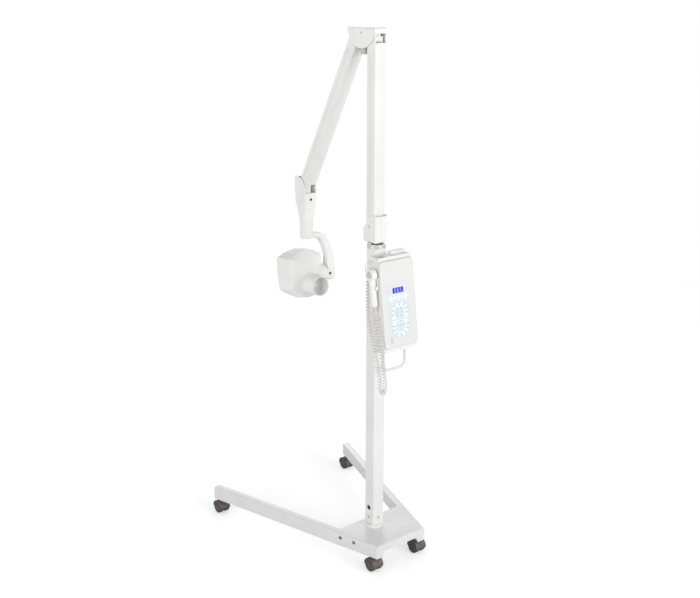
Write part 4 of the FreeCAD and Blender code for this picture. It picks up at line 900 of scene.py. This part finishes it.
@dataclass
class HandsetCord(SubAssembly):
    """The coiled cord between the control box and the handset."""

    wire: float = 1.5
    coil: float = 8.0
    pitch: float = 11.4
    ease: float = 12.0
    plain_start: float = 82.0
    plain_end: float = 7.0
    steps: int = 20

    def build(self) -> None:
        tail = HANDSET @ Vector((0, 0, -135))
        near = HANDSET @ Vector((0, 0, -173))
        route = [(COLUMN + Vector(point)) * MM for point in LEAD_ROUTE + COIL_ROUTE] + [near, tail]
        line = self._smooth(route)
        helix = self._helix(line)
        cord = SWEEP.along("handset_cord", helix, self.wire * MM, CORD_SHEATH)
        self.keep(cord, CORD_SHEATH, "base", "cord_lead", "curly_cord")

    def _smooth(self, route: list[Vector]) -> list[Vector]:
        """Give the points of a smooth spline led by the route's points."""
        data = bpy.data.curves.new("cord_route", "CURVE")
        data.dimensions = "3D"
        spline = data.splines.new("NURBS")
        spline.points.add(len(route) - 1)
        for point, place in zip(spline.points, route):
            point.co = (*place, 1.0)
        spline.order_u = 3
        spline.use_endpoint_u = True
        spline.resolution_u = 24
        holder = add_object("cord_route", data)
        graph = bpy.context.evaluated_depsgraph_get()
        mesh = bpy.data.meshes.new_from_object(holder.evaluated_get(graph))
        line = [vertex.co.copy() for vertex in mesh.vertices]
        bpy.data.objects.remove(holder)
        bpy.data.meshes.remove(mesh)
        return line

    def _helix(self, line: list[Vector]) -> list[Vector]:
        """Wind the wire round the spline between its two plain ends.

        Args:
            line: Points of the spline, in metres.

        Returns:
            The wire's centre line, in metres.
        """
        reach = [0.0]
        for a, b in zip(line, line[1:]):
            reach.append(reach[-1] + (b - a).length)
        total = reach[-1]
        first, last = self.plain_start * MM, total - self.plain_end * MM
        turns = round((last - first) / (self.pitch * MM))
        count = turns * self.steps
        spots = [first * i / 24 for i in range(24)]
        spots += [first + (last - first) * i / count for i in range(count + 1)]
        spots += [last + (total - last) * i / 4 for i in range(1, 5)]
        ahead = (line[1] - line[0]).normalized()
        side = ahead.orthogonal().normalized()
        wound, index = [], 0
        radius = (self.coil - self.wire) * MM
        for spot in spots:
            while index < len(line) - 2 and reach[index + 1] < spot:
                index += 1
            a, b = line[index], line[index + 1]
            share = (spot - reach[index]) / max(1e-9, reach[index + 1] - reach[index])
            centre = a.lerp(b, share)
            ahead = (b - a).normalized()
            side = (side - ahead * side.dot(ahead)).normalized()
            up = ahead.cross(side)
            ease = self.ease * MM
            grown = min(ramp(spot, first, first + ease), ramp(-spot, -last, ease - last))
            grown = grown * grown * (3 - 2 * grown)
            angle = 2 * math.pi * turns * ramp(spot, first, last)
            wound.append(centre + (side * math.cos(angle) + up * math.sin(angle)) * radius * grown)
        return wound


@dataclass
class WheeledBase(SubAssembly):
    """The spread legs, the deck between them and the foot of the column."""

    bolt_levels: tuple[float, float] = (24.0, -38.0)
    bolt_height: float = 94.5
    half_width: float = 15.0
    inner_edge: float = 116.6
    edge_level: float = 138.9

    @property
    def root(self) -> float:
        """How far out a leg's axis is beside the column, in millimetres."""
        return (self.inner_edge - self.half_width / math.cos(LEG_SPREAD)
                + self.edge_level * math.tan(LEG_SPREAD))

    def build(self) -> None:
        """Make the pieces of the base."""
        self.soften("leg_left", BASE_PAINT, 0.8)
        self.soften("leg_right", BASE_PAINT, 0.8)
        self.soften("leg_caps", BASE_PAINT, 0.6)
        self.soften("base_deck", BASE_PAINT, 1.6, 3)
        self._bolt_heads()
        self._foot_ring()

    def _bolt_heads(self) -> None:
        """Make the dark socket heads and pale rings of the leg bolts."""
        heads, rings = [], []
        for side in (-1, 1):
            turn = Matrix.Rotation(-side * LEG_SPREAD, 4, "Z")
            out = turn @ Vector((side, 0, 0))
            for level in self.bolt_levels:
                face = Vector((side * (self.half_width + 0.2), level, self.bolt_height))
                at = turn @ face + Vector((side * self.root, COLUMN.y, 0))
                heads.append((at, out))
                rings.append((at - out * 0.15, out))
        self.studs("leg_bolt_heads", heads, ROW, SCREW_STEEL, "base", "leg_bolts",
                   radius=6.8, height=2.9, top=0.84, depth=1.9, corners=28)
        self.studs("leg_bolt_washers", rings, ROW, BASE_PAINT, "base",
                   radius=9.2, height=1.4, top=0.86, socket=0.85, depth=0.2, corners=32)

    def _foot_ring(self) -> None:
        """Make the rounded ring that the column stands in."""
        outline = [(20.0, 108.0), (33.4, 108.0), (33.4, 117.4), (32.7, 119.6), (31.0, 121.0), (28.6, 121.4),
                   (20.0, 121.4)]
        ring = lathe("column_foot_ring", outline, COLUMN_FOOT)
        self.paint(CAST_WHITE, "column_flange")
        self.keep(ring, CAST_WHITE, "base")


class End(Enum):
    """The end of a leg that a caster stands under."""

    FRONT = 609.0
    REAR = -122.0


@dataclass
class Caster(SubAssembly):
    """One hooded twin-wheel caster."""

    end: End = End.FRONT
    side: int = -1
    root: float = 144.0
    trail: float = 12.0
    wheel_radius: float = 25.0
    wheel_outer: float = 23.5
    wheel_width: float = 18.0

    def build(self) -> None:
        """Make the hood and the pair of wheels."""
        word = ("front" if self.end is End.FRONT else "rear") + ("_left" if self.side < 0 else "_right")
        self.soften("caster_hood_" + word, CASTER_PLASTIC, 0.6)
        x = self.side * (self.root + self.end.value * math.tan(LEG_SPREAD))
        axle = place_at(x, COLUMN.y + self.end.value + self.trail, self.wheel_radius)
        body = "wheels_" + word
        inner, outer, edge = self.wheel_outer - self.wheel_width, self.wheel_outer, self.wheel_radius
        outline = [(3.2, inner), (edge - 1.6, inner), (edge - 0.4, inner + 0.9), (edge, inner + 2.6),
                   (edge, outer - 3.2), (edge - 0.5, outer - 1.4), (edge - 1.8, outer - 0.3),
                   (edge - 3.6, outer), (edge - 4.4, outer - 0.6), (edge - 5.0, outer - 0.6),
                   (edge - 5.6, outer - 0.1), (12.0, outer - 0.9), (9.2, outer - 2.0), (8.2, outer - 2.0),
                   (7.4, outer - 0.9), (3.2, outer - 0.5)]
        for face, turn in (("inner", math.pi), ("outer", 0.0)):
            place = axle @ ALONG_X @ Matrix.Rotation(turn, 4, "X")
            wheel = lathe("wheel_%s_%s" % (word, face), outline, place, 64, 40)
            self.keep(wheel, TREAD, body, "caster_wheels_" + word)
        self.studs("axle_caps_" + word, on_both_sides(self.wheel_outer - 1.6), axle, CASTER_PLASTIC, body,
                   radius=6.4, height=1.3, top=0.8, corners=24)


@dataclass
class Column(SubAssembly):
    """The square column with its foot screws, cable hole, collar and swivel washer."""

    half: float = 25.0
    screw_height: float = 150.0
    hole_height: float = 190.0
    collar_low: float = 1207.0
    collar_height: float = 16.0
    collar_radius: float = 33.0
    block_span: float = 34.0

    def build(self) -> None:
        """Make the pieces of the column."""
        self.paint(STEEL, "column_screws", "caster_stems", "swivel_spindle")
        self.soften("column_tube", COLUMN_PAINT, 0.4)
        self._screw_heads()
        self._cable_hole()
        self._collar()

    def _screw_heads(self) -> None:
        """Make the small domed screws low on the column's faces."""
        out = self.half - 0.1
        spots = [(Vector((x * out, y * out, self.screw_height)), Vector((x, y, 0)))
                 for x, y in ((-1, 0), (1, 0), (0, -1), (0, 1))]
        self.studs("column_screw_heads", spots, COLUMN_FOOT, STEEL, "base",
                   radius=4.4, height=2.5, top=0.66, depth=1.2, corners=24)

    def _cable_hole(self) -> None:
        """Make the dark bushing of the mains cable's hole."""
        self.soften("cable_grommet", DARK_PLASTIC, 0.4)
        place = COLUMN_FOOT @ Matrix.Translation(Vector((-self.half, 0, self.hole_height))) @ ALONG_X
        outline = [(8.6, -1.4), (9.5, -1.35), (10.4, -0.9), (10.9, 0.0), (8.6, 0.0)]
        self.keep(lathe("cable_hole_ring", outline, place, 48), COLUMN_PAINT, "base")

    def _collar(self) -> None:
        """Make the rounded collar and the slotted washer over it."""
        low, out = self.collar_low, self.collar_radius
        top = low + self.collar_height
        outline = [(16.0, low + 0.1), (out - 2.0, low + 0.1), (out - 0.5, low + 0.8), (out, low + 2.4),
                   (out, top - 4.5), (out - 0.7, top - 2.0), (out - 2.6, top - 0.4), (out - 5.0, top),
                   (16.0, top)]
        self.paint(STEEL, "column_collar")
        self.keep(lathe("collar_ring", outline, COLUMN_FOOT), CAST_WHITE, "base")
        self.soften("swivel_washer", DARK_PLASTIC, 0.5)
        for start in (40, 160, 280):
            self.keep(self._washer_block(start, top), CAST_WHITE, "base")

    def _washer_block(self, start: int, low: float) -> Object:
        """Make one pale spacer block in the dark slot over the collar.

        Args:
            start: Where it starts round the column, in degrees.
            low: The collar's top, in millimetres over the floor.

        Returns:
            The block.
        """
        rows = []
        steps = 10
        for i in range(steps + 1):
            angle = math.radians(start + self.block_span * i / steps)
            rows.append([Vector((radius * math.cos(angle), radius * math.sin(angle), low + height))
                         for radius, height in ((24.0, 0.2), (31.6, 0.2), (31.6, 4.7), (24.0, 4.7))])
        return loft("washer_block_%d" % start, rows, COLUMN_FOOT)


@dataclass
class LowerPivot(SubAssembly):
    """The turning housing on the column and the lower pivot inside it."""

    cheek: float = 27.0

    def build(self) -> None:
        """Make the housing."""
        self.soften("lower_cover_left", SHELL_PLASTIC, 1.2, 3)
        self.soften("lower_cover_right", SHELL_PLASTIC, 1.2, 3)
        self.paint(CAST_WHITE, "lower_knuckle")
        self.paint(STEEL, "lower_pivot_pin")
        self.studs("lower_screw_caps", on_both_sides(self.cheek - 0.3), LOWER_PIVOT, SHELL_PLASTIC, "swivel",
                   radius=8.2, height=0.75, top=0.86, socket=0.8, depth=0.45, corners=36)


@dataclass
class SpringArm(SubAssembly):
    """One balanced arm: box tube, spring, tension rod and levelling link."""

    which: str = "rear"
    place: Matrix = field(default_factory=lambda: ROW)
    half_width: float = 23.0
    half_depth: float = 23.5
    length: float = 636.0
    spring_turns: int = 42
    spring_low: float = 64.0
    spring_length: float = 300.0
    spring_aside: float = -6.0
    spring_radius: float = 10.5
    spring_wire: float = 1.5

    def build(self) -> None:
        """Make the arm's pieces."""
        body = self.which + "_arm"
        self.soften(self.which + "_arm_tube", ARM_PAINT, 0.6)
        self.paint(STEEL, self.which + "_arm_rod")
        self.soften(self.which + "_link_bar", CAST_WHITE, 0.5)
        self.keep(self._spring(), SPRING_STEEL, body, self.which + "_arm_spring")
        for side in (-1, 1):
            # A strip of painted groove shade on each side face.
            self.keep(self._groove(side), PAINTED_SEAM_SHADE, body)
        if self.which == "rear":
            self._end_plates(body)

    def _end_plates(self, body: str) -> None:
        """Close the arm's upper end behind the elbow, as far as the level bracket leaves room.

        Args:
            body: The body the arm rides on.
        """
        low, half, depth = self.length - 33.5, self.half_width - 3.5, self.half_depth
        faces = (("back", -depth, self.length - 13.0), ("front", depth - 1.2, self.length - 4.0))
        for word, y, high in faces:
            outline = rounded_rectangle(-half, low, half, high, 1.0, 2)
            plate = prism("rear_arm_end_plate_" + word, outline, y + 0.1, y + 1.1, self.place)
            self.keep(plate, ARM_PAINT, body)

    def _spring(self) -> Object:
        """Wind the balance spring."""
        line = []
        steps = 16
        count = self.spring_turns * steps
        for i in range(count + 1):
            angle = 2 * math.pi * i / steps
            height = self.spring_low + 1.6 + (self.spring_length - 3.2) * i / count
            line.append(self.place @ Vector((self.spring_aside + self.spring_radius * math.cos(angle),
                                             self.spring_radius * math.sin(angle), height)))
        return SWEEP.along(self.which + "_arm_coil_spring", line, self.spring_wire * MM, SPRING_STEEL)

    def _groove(self, side: int) -> Object:
        """Make the painted shade of the groove along the parting line of the arm's two skins, on one side
        face.

        Args:
            side: -1 or 1, for the face it is on.

        Returns:
            The grey strip of painted groove shade, which lies a hair proud of the face.
        """
        word = "left" if side < 0 else "right"
        bends = ((46, 9.0), (86, 2.6), (self.length - 86, 2.6), (self.length - 46, 9.0))
        section = ((-0.45, -0.6), (-0.45, 0.08), (0.45, 0.08), (0.45, -0.6))
        rows = [[Vector((side * (self.half_width + out), y + shift, height)) for shift, out in section]
                for height, y in bends]
        return loft("%s_arm_seam_shade_%s" % (self.which, word), rows, self.place)


@dataclass
class Elbow(SubAssembly):
    """The level bracket that joins the two arms."""

    cheek: float = 26.7
    cap_y: float = 49.5
    cap_z: float = 19.0

    def build(self) -> None:
        """Make the bracket's pieces."""
        self.soften("elbow_bracket", SHELL_PLASTIC, 0.9, 3)
        self.soften("elbow_cap", SHELL_PLASTIC, 0.4)
        self.soften("elbow_stop_block", BLOCK_PLASTIC, 1.2, 3)
        self.paint(STEEL, "elbow_pins")
        caps = on_both_sides(self.cheek, self.cap_y, self.cap_z)
        self.studs("elbow_screw_caps", caps, ELBOW, SHELL_PLASTIC, "elbow",
                   radius=4.6, height=0.75, top=0.86, socket=0.8, depth=0.45, corners=28)


@dataclass
class WristAndYoke(SubAssembly):
    """The housing at the arm's end and the curved yoke under it."""

    screw_y: float = 138.8
    screw_z: float = 1315.0
    yoke_y: float = 171.31
    boss_x: float = 81.5
    boss_z: float = 1006.0
    widening: float = 0.24

    def build(self) -> None:
        """Make the wrist's and the yoke's pieces."""
        self.soften("wrist_housing", SHELL_PLASTIC, 1.4, 3)
        self.paint(STEEL, "wrist_pivot_pin")
        self._widen(self.soften("yoke_arm", CAST_WHITE, 1.6, 3, 50))
        rearward = Vector((0, -1, 0))
        hole = Vector((COLUMN.x, self.screw_y + 0.4, self.screw_z))
        self.studs("wrist_screw", [(hole, rearward)], ROW, SCREW_STEEL, "wrist",
                   radius=5.3, height=0.6, top=0.9, depth=0.5, corners=24)
        boss = Vector((self.boss_x, self.yoke_y - 18.6, self.boss_z))
        self.studs("yoke_set_screw", [(boss, rearward)], ROW, SCREW_STEEL, "yoke",
                   radius=5.7, height=0.5, top=0.9, socket=0.6, depth=0.4, corners=24)

    def _widen(self, yoke: Object) -> None:
        """Broaden the curved part of the yoke along Y, between its hub and its boss.

        Args:
            yoke: The yoke's softened copy.
        """
        middle = self.yoke_y * MM
        for vertex in yoke.data.vertices:
            x, _, z = vertex.co / MM
            beside = ramp(x, 12.0, 42.0)
            above = ramp(z, 1035.0, 1039.0) * (0.6 + 0.4 * ramp(z, 1044.0, 1094.0))
            share = beside * beside * (3 - 2 * beside) * above
            vertex.co.y = middle + (vertex.co.y - middle) * (1 + self.widening * share)


# Sections of the tube head along its Y: depth, then half width and height of each corner from crown to keel.
HEAD_SECTIONS = [
    (-22, (0, 57), (14, 50), (24, 22), (46, -32), (30, -70), (0, -76)),
    (-8, (0, 84), (38, 78), (66, 68), (72, -40), (46, -84), (0, -90)),
    (6, (0, 106), (44, 92), (76, 72), (80, -50), (54, -84), (0, -92)),
    (78, (0, 99), (50, 88), (84, 74), (84, -58), (60, -76), (0, -84)),
    (95, (0, 84), (44, 74), (76, 62), (76, -50), (52, -66), (0, -72)),
]


@dataclass
class TubeHead(SubAssembly):
    """The x-ray tube head: two shells, cone, tank and trunnion."""

    seam: float = -27.0
    step: float = 2.5
    ridge: float = 3.2
    cone_height: float = -30.0

    def build(self) -> None:
        """Make the head's pieces."""
        for name, inset, upper, node in (("head_top_shell", 0.0, True, "head_upper_shell"),
                                         ("head_bottom_shell", self.step, False, "head_lower_shell")):
            self.keep(self._shell(name, inset, upper), HEAD_PLASTIC, "head", node)
        self.soften("beam_cone", CONE_PLASTIC, 0.8, 3)
        self.paint(STEEL, "tube_tank")
        self.soften("head_trunnion", CAST_WHITE, 0.8)
        self._liner()
        swell = [(0.0, -20.0), (14.0, -20.0), (21.0, 8.0), (28.5, 36.0), (33.5, 54.0), (35.4, 64.0),
                 (35.0, 71.0), (32.6, 78.0), (28.6, 83.2), (25.0, 85.8), (21.0, 86.9), (0.0, 86.9)]
        self.keep(lathe("head_side_swelling", swell, HEAD @ ALONG_X), HEAD_PLASTIC, "head")

    def _shell(self, name: str, inset: float, upper: bool) -> Object:
        """Make one faceted shell from the head's sections, with every ridge rounded off.

        Args:
            name: The piece's name.
            inset: How far it is drawn in, in millimetres.
            upper: Whether it is the part over the seam.

        Returns:
            The shell.
        """
        shell = bmesh.new()
        last = len(HEAD_SECTIONS) - 1
        for number, (y, *half) in enumerate(HEAD_SECTIONS):
            depth = y + (inset if number == 0 else -inset if number == last else 0.0)
            for x, z in half:
                for side in ((1, -1) if x else (1,)):
                    rise = -inset if z > 0 else inset
                    shell.verts.new(HEAD @ Vector((side * max(0.0, x - inset), depth, z + rise)))
        hull = bmesh.ops.convex_hull(shell, input=shell.verts)
        bmesh.ops.delete(shell, geom=[v for v in hull["geom_interior"] if v.is_valid], context="VERTS")
        flat = HEAD.to_3x3() @ Vector((0, 0, 1))
        bmesh.ops.bisect_plane(shell, geom=shell.verts[:] + shell.edges[:] + shell.faces[:], dist=1e-7,
                               plane_co=HEAD @ Vector((0, 0, self.seam)), plane_no=flat,
                               clear_inner=upper, clear_outer=not upper)
        bmesh.ops.holes_fill(shell, edges=[edge for edge in shell.edges if edge.is_boundary], sides=0)
        bmesh.ops.dissolve_limit(shell, angle_limit=math.radians(3), verts=shell.verts, edges=shell.edges)
        bmesh.ops.recalc_face_normals(shell, faces=shell.faces)
        mesh = bpy.data.meshes.new(name)
        shell.to_mesh(mesh)
        shell.free()
        shade_by_angle(mesh, 60)
        piece = add_object(name, mesh)
        bevel(piece, self.ridge, 4, 9)
        return piece

    def _liner(self) -> None:
        """Make the lining of the cone's bore and the pale ring inside it."""
        lift = Matrix.Translation(Vector((0, 0, self.cone_height)))
        axis = HEAD @ lift @ Matrix.Rotation(math.pi / 2, 4, "X")
        for name, finish, outline in (
                ("cone_liner", CONE_LINER, [(37.45, 40.0), (37.45, 88.0), (37.0, 88.0), (36.9, 40.0)]),
                ("cone_window", CONE_PLASTIC, [(0.0, 40.5), (30.0, 40.5), (31.0, 44.0), (34.0, 45.0),
                                               (36.8, 45.0), (36.8, 38.0), (0.0, 38.0)]),
                ("cone_rim", CONE_PLASTIC, [(34.6, 84.0), (34.6, 90.0), (35.2, 90.7), (37.6, 90.8),
                                            (37.6, 84.0)]),
                ("cone_root_ring", CONE_PLASTIC, [(39.6, 18.0), (42.6, 18.0), (42.6, 24.6), (41.9, 26.2),
                                                  (40.6, 26.9), (39.6, 27.0)])):
            self.keep(lathe(name, outline, axis), finish, "head")


@dataclass
class ControlBox(SubAssembly):
    """The control box with its sloping panel, keypad film, display, switch and handle."""

    film_left: float = -56.0
    film_right: float = 44.0
    film_low: float = 16.0
    film_high: float = 228.0
    window: tuple[float, ...] = (-42, 34, 40, 165, 40.9, 20)
    key_centre: float = -1.0
    dark_circle: float = 28.5
    blue_circle: float = 35.5
    lamp_rows: Triple = (40.0, 30.7, 21.5)
    dot_level: float = 0.28
    sheet_level: float = 0.3
    key_level: float = 0.42
    pad_level: float = 0.44
    line_level: float = 0.46
    digit_start: float = -15.5
    digit_pitch: float = 12.0
    digit_foot: float = 198.6
    half_width: float = 76.5
    height: float = 313.6

    def build(self) -> None:
        """Make the box's pieces."""
        self.soften("box_rear_shell", SHELL_PLASTIC, 1.2, 3)
        self.keep(self._panel(), PANEL_PLASTIC, "base", "box_front_panel")
        self.soften("box_bracket", COLUMN_PAINT, 0.8)
        self.soften("power_switch", DARK_PLASTIC, 0.8, 3)
        self.soften("push_handle", HANDLE_PAINT, 0)
        film = rounded_rectangle(self.film_left, self.film_low, self.film_right, self.film_high, 9)
        self.keep(prism("keypad_sheet", film, -0.12, 0.6, PANEL), FILM, "base", "keypad_film")
        glass = rounded_rectangle(-28, 195.6, 21, 214.8, 1.2, 3)
        self.keep(prism("display_glass", glass, -0.3, 0.6, PANEL), LCD_BACK, "base", "display_window")
        self._prints()
        self._display()

    def _panel(self) -> Object:
        """Make the sloping panel, whose rim rounds off softly towards the box."""
        rows = []
        for inset, depth in ((4.6, 0.0), (3.0, 0.22), (1.6, 0.9), (0.6, 2.1), (0.1, 3.8), (0.0, 5.2),
                             (0.0, 9.4), (0.6, 10.0)):
            rim = rounded_rectangle(inset - self.half_width, inset, self.half_width - inset,
                                    self.height - inset, 14 - inset, 10)
            rows.append([Vector((x, depth, z)) for x, z in rim])
        return loft("control_panel", rows, PANEL, 40)

    def _sheet(self, name: str, finish: Finish, level: float, *rectangle: float) -> None:
        """Lay a thin printed patch on the film.

        Args:
            name: The piece's name.
            finish: Its finish.
            level: How far it stands out, in millimetres.
            *rectangle: Its rounded rectangle on the panel.
        """
        outline = rounded_rectangle(*rectangle)
        self.keep(prism(name, outline, -level, -level + 0.12, PANEL), finish, "base")

    def _dots(self, name: str, spots: Outline, radius: float, finish: Finish, level: float) -> None:
        """Print round dots on the film.

        Args:
            name: The piece's name.
            spots: Their centres on the panel.
            radius: Their radius, in millimetres.
            finish: Their finish.
            level: How far they stand out, in millimetres.
        """
        points = [(Vector((x, -level, z)), Vector((0, -1, 0))) for x, z in spots]
        self.studs(name, points, PANEL, finish, "base", radius=radius, height=0.22, top=0.9, corners=16)

    def _prints(self) -> None:
        """Lay the keypad's printed strip, window, dots and lamps on the film."""
        film = rounded_rectangle(self.film_left + 1, self.film_low + 1, self.film_right - 1,
                                 self.film_high - 1, 9, 8)
        border = outline_ring("keypad_border", film, 0.7, -self.sheet_level, -0.18, PANEL)
        self.keep(border, FILM_PALE, "base")
        self._sheet("keypad_strip", FILM_WHITE, self.sheet_level, -51, 167, 42, 191.5, 2)
        columns = ((-47, DOT_BROWN), (-26.5, DOT_CYAN), (-13, DOT_BROWN), (8, DOT_CYAN), (20.5, DOT_CYAN),
                   (38, DOT_BROWN))
        for number, (x, finish) in enumerate(columns):
            self._dots("keypad_strip_dots_%d" % number, [(x, 187), (x, 172)], 1.7, finish, self.dot_level)
        self._sheet("keypad_window", FILM_WHITE, self.sheet_level, *self.window)
        line = outline_ring("keypad_window_line", rounded_rectangle(*self.window), 1.7,
                            -self.line_level, -self.dot_level, PANEL)
        self.keep(line, FILM_BLUE, "base")
        self._sheet("keypad_window_bar", FILM_BLUE, self.line_level, -40.5, 99.8, 38.5, 101.8, 0.5, 2)
        self._sheet("keypad_upper_pad", FILM_PALE, self.pad_level, -24, 103, 20, 144, 17, 10)
        self._sheet("keypad_lower_pad", FILM_PALE, self.pad_level, -22, 55, 18, 96.5, 17, 10)
        circles = {self.blue_circle: [], self.dark_circle: []}
        arcs = ((124, (90, 128, 52, 160, 20, 187, -7)), (75, (270, 232, 308, 200, -20, 173, 7)))
        for height, angles in arcs:
            for angle in angles:
                across, up = math.cos(math.radians(angle)), math.sin(math.radians(angle))
                for radius, keys in circles.items():
                    keys.append((self.key_centre + radius * across, height + radius * up))
        dark = circles[self.dark_circle] + [(-14, 137), (4, 139), (-14, 113), (6, 113), (-14, 79), (-1, 78),
                                            (12, 77)]
        blue = circles[self.blue_circle] + [(-16, 127), (6, 127), (-1, 94), (-1, 62)]
        self._dots("keypad_keys_dark", dark, 1.9, DOT_DARK, self.key_level)
        self._dots("keypad_keys_blue", blue, 1.9, DOT_CYAN, self.key_level)
        lamps, rings = [(-47, z) for z in self.lamp_rows], [(-40.5, z) for z in self.lamp_rows]
        self._dots("keypad_lamps", lamps, 1.7, DOT_DARK, self.dot_level)
        self._dots("keypad_lamp_rings", rings + [(-47.5, 144)], 1.7, DOT_CYAN, self.dot_level)
        self._dots("keypad_marks", [(-44, 206), (35, 206), (-42, 155)], 2.4, FILM_BLUE, self.dot_level)

    def _display(self) -> None:
        """Light the display's digits: three numerals made of bars."""
        bars = {"top": (0, 12.2, 5.4, 1.1), "middle": (0, 6.2, 5.4, 1.1), "bottom": (0, 0.2, 5.4, 1.1),
                "upper_left": (-2.6, 9.2, 1.1, 5.0), "upper_right": (2.6, 9.2, 1.1, 5.0),
                "lower_left": (-2.6, 3.2, 1.1, 5.0), "lower_right": (2.6, 3.2, 1.1, 5.0)}
        digits = {"0": ("top", "bottom", "upper_left", "upper_right", "lower_left", "lower_right"),
                  "6": ("top", "middle", "bottom", "upper_left", "lower_left", "lower_right"),
                  "5": ("top", "middle", "bottom", "upper_left", "lower_right")}
        for place, digit in enumerate("065"):
            for bar in digits[digit]:
                x, z, wide, tall = bars[bar]
                x += self.digit_start + self.digit_pitch * place
                z += self.digit_foot
                self._sheet("display_digit_%d_%s" % (place, bar), LCD_LIT, self.pad_level,
                            x - wide / 2, z - tall / 2, x + wide / 2, z + tall / 2, 0.4, 2)


@dataclass
class Handset(SubAssembly):
    """The exposure handset with its button, strain relief and holder."""

    def build(self) -> None:
        """Make the handset's pieces."""
        self.soften("handset_body", HEAD_PLASTIC, 1.2, 3)
        self.soften("handset_button", BUTTON_GREY, 0.8, 3)
        self.soften("handset_holder", SHELL_PLASTIC, 0.6)
        self.soften("cord_gland", SHELL_PLASTIC, 0.8)
        self.keep(self._relief(), CORD_SHEATH, "base", "handset_relief")

    def _relief(self) -> Object:
        """Make the ribbed strain relief under the handset's grip."""
        outline = [(0.0, -112.2), (6.0, -112.2)]
        for rib in range(5):
            z = -113.6 - rib * 4.2
            out = 5.9 - rib * 0.28
            outline += [(out, z), (out, z - 2.6), (out - 1.4, z - 2.9), (out - 1.4, z - 3.9)]
        outline += [(3.4, -134.4), (0.0, -134.4)]
        return lathe("handset_strain_relief", outline, HANDSET, 40)


def main() -> None:
    """Build the studio, then every sub-assembly in order."""
    logging.basicConfig(level=logging.INFO, format="%(message)s")
    Studio().build()
    base = WheeledBase()
    groups: list[SubAssembly] = [HandsetCord(), base]
    groups += [Caster(end=end, side=side, root=base.root) for end in End for side in (-1, 1)]
    groups += [Column(), LowerPivot(), SpringArm(which="rear", place=LOWER_PIVOT),
               SpringArm(which="front", place=FRONT_PIVOT), Elbow(), WristAndYoke(), TubeHead(), ControlBox(),
               Handset()]
    for group in groups:
        group.build()
    LOG.info("Pieces made or kept: %d", sum(len(group.pieces) for group in groups))


if __name__ == "__main__":
    main()
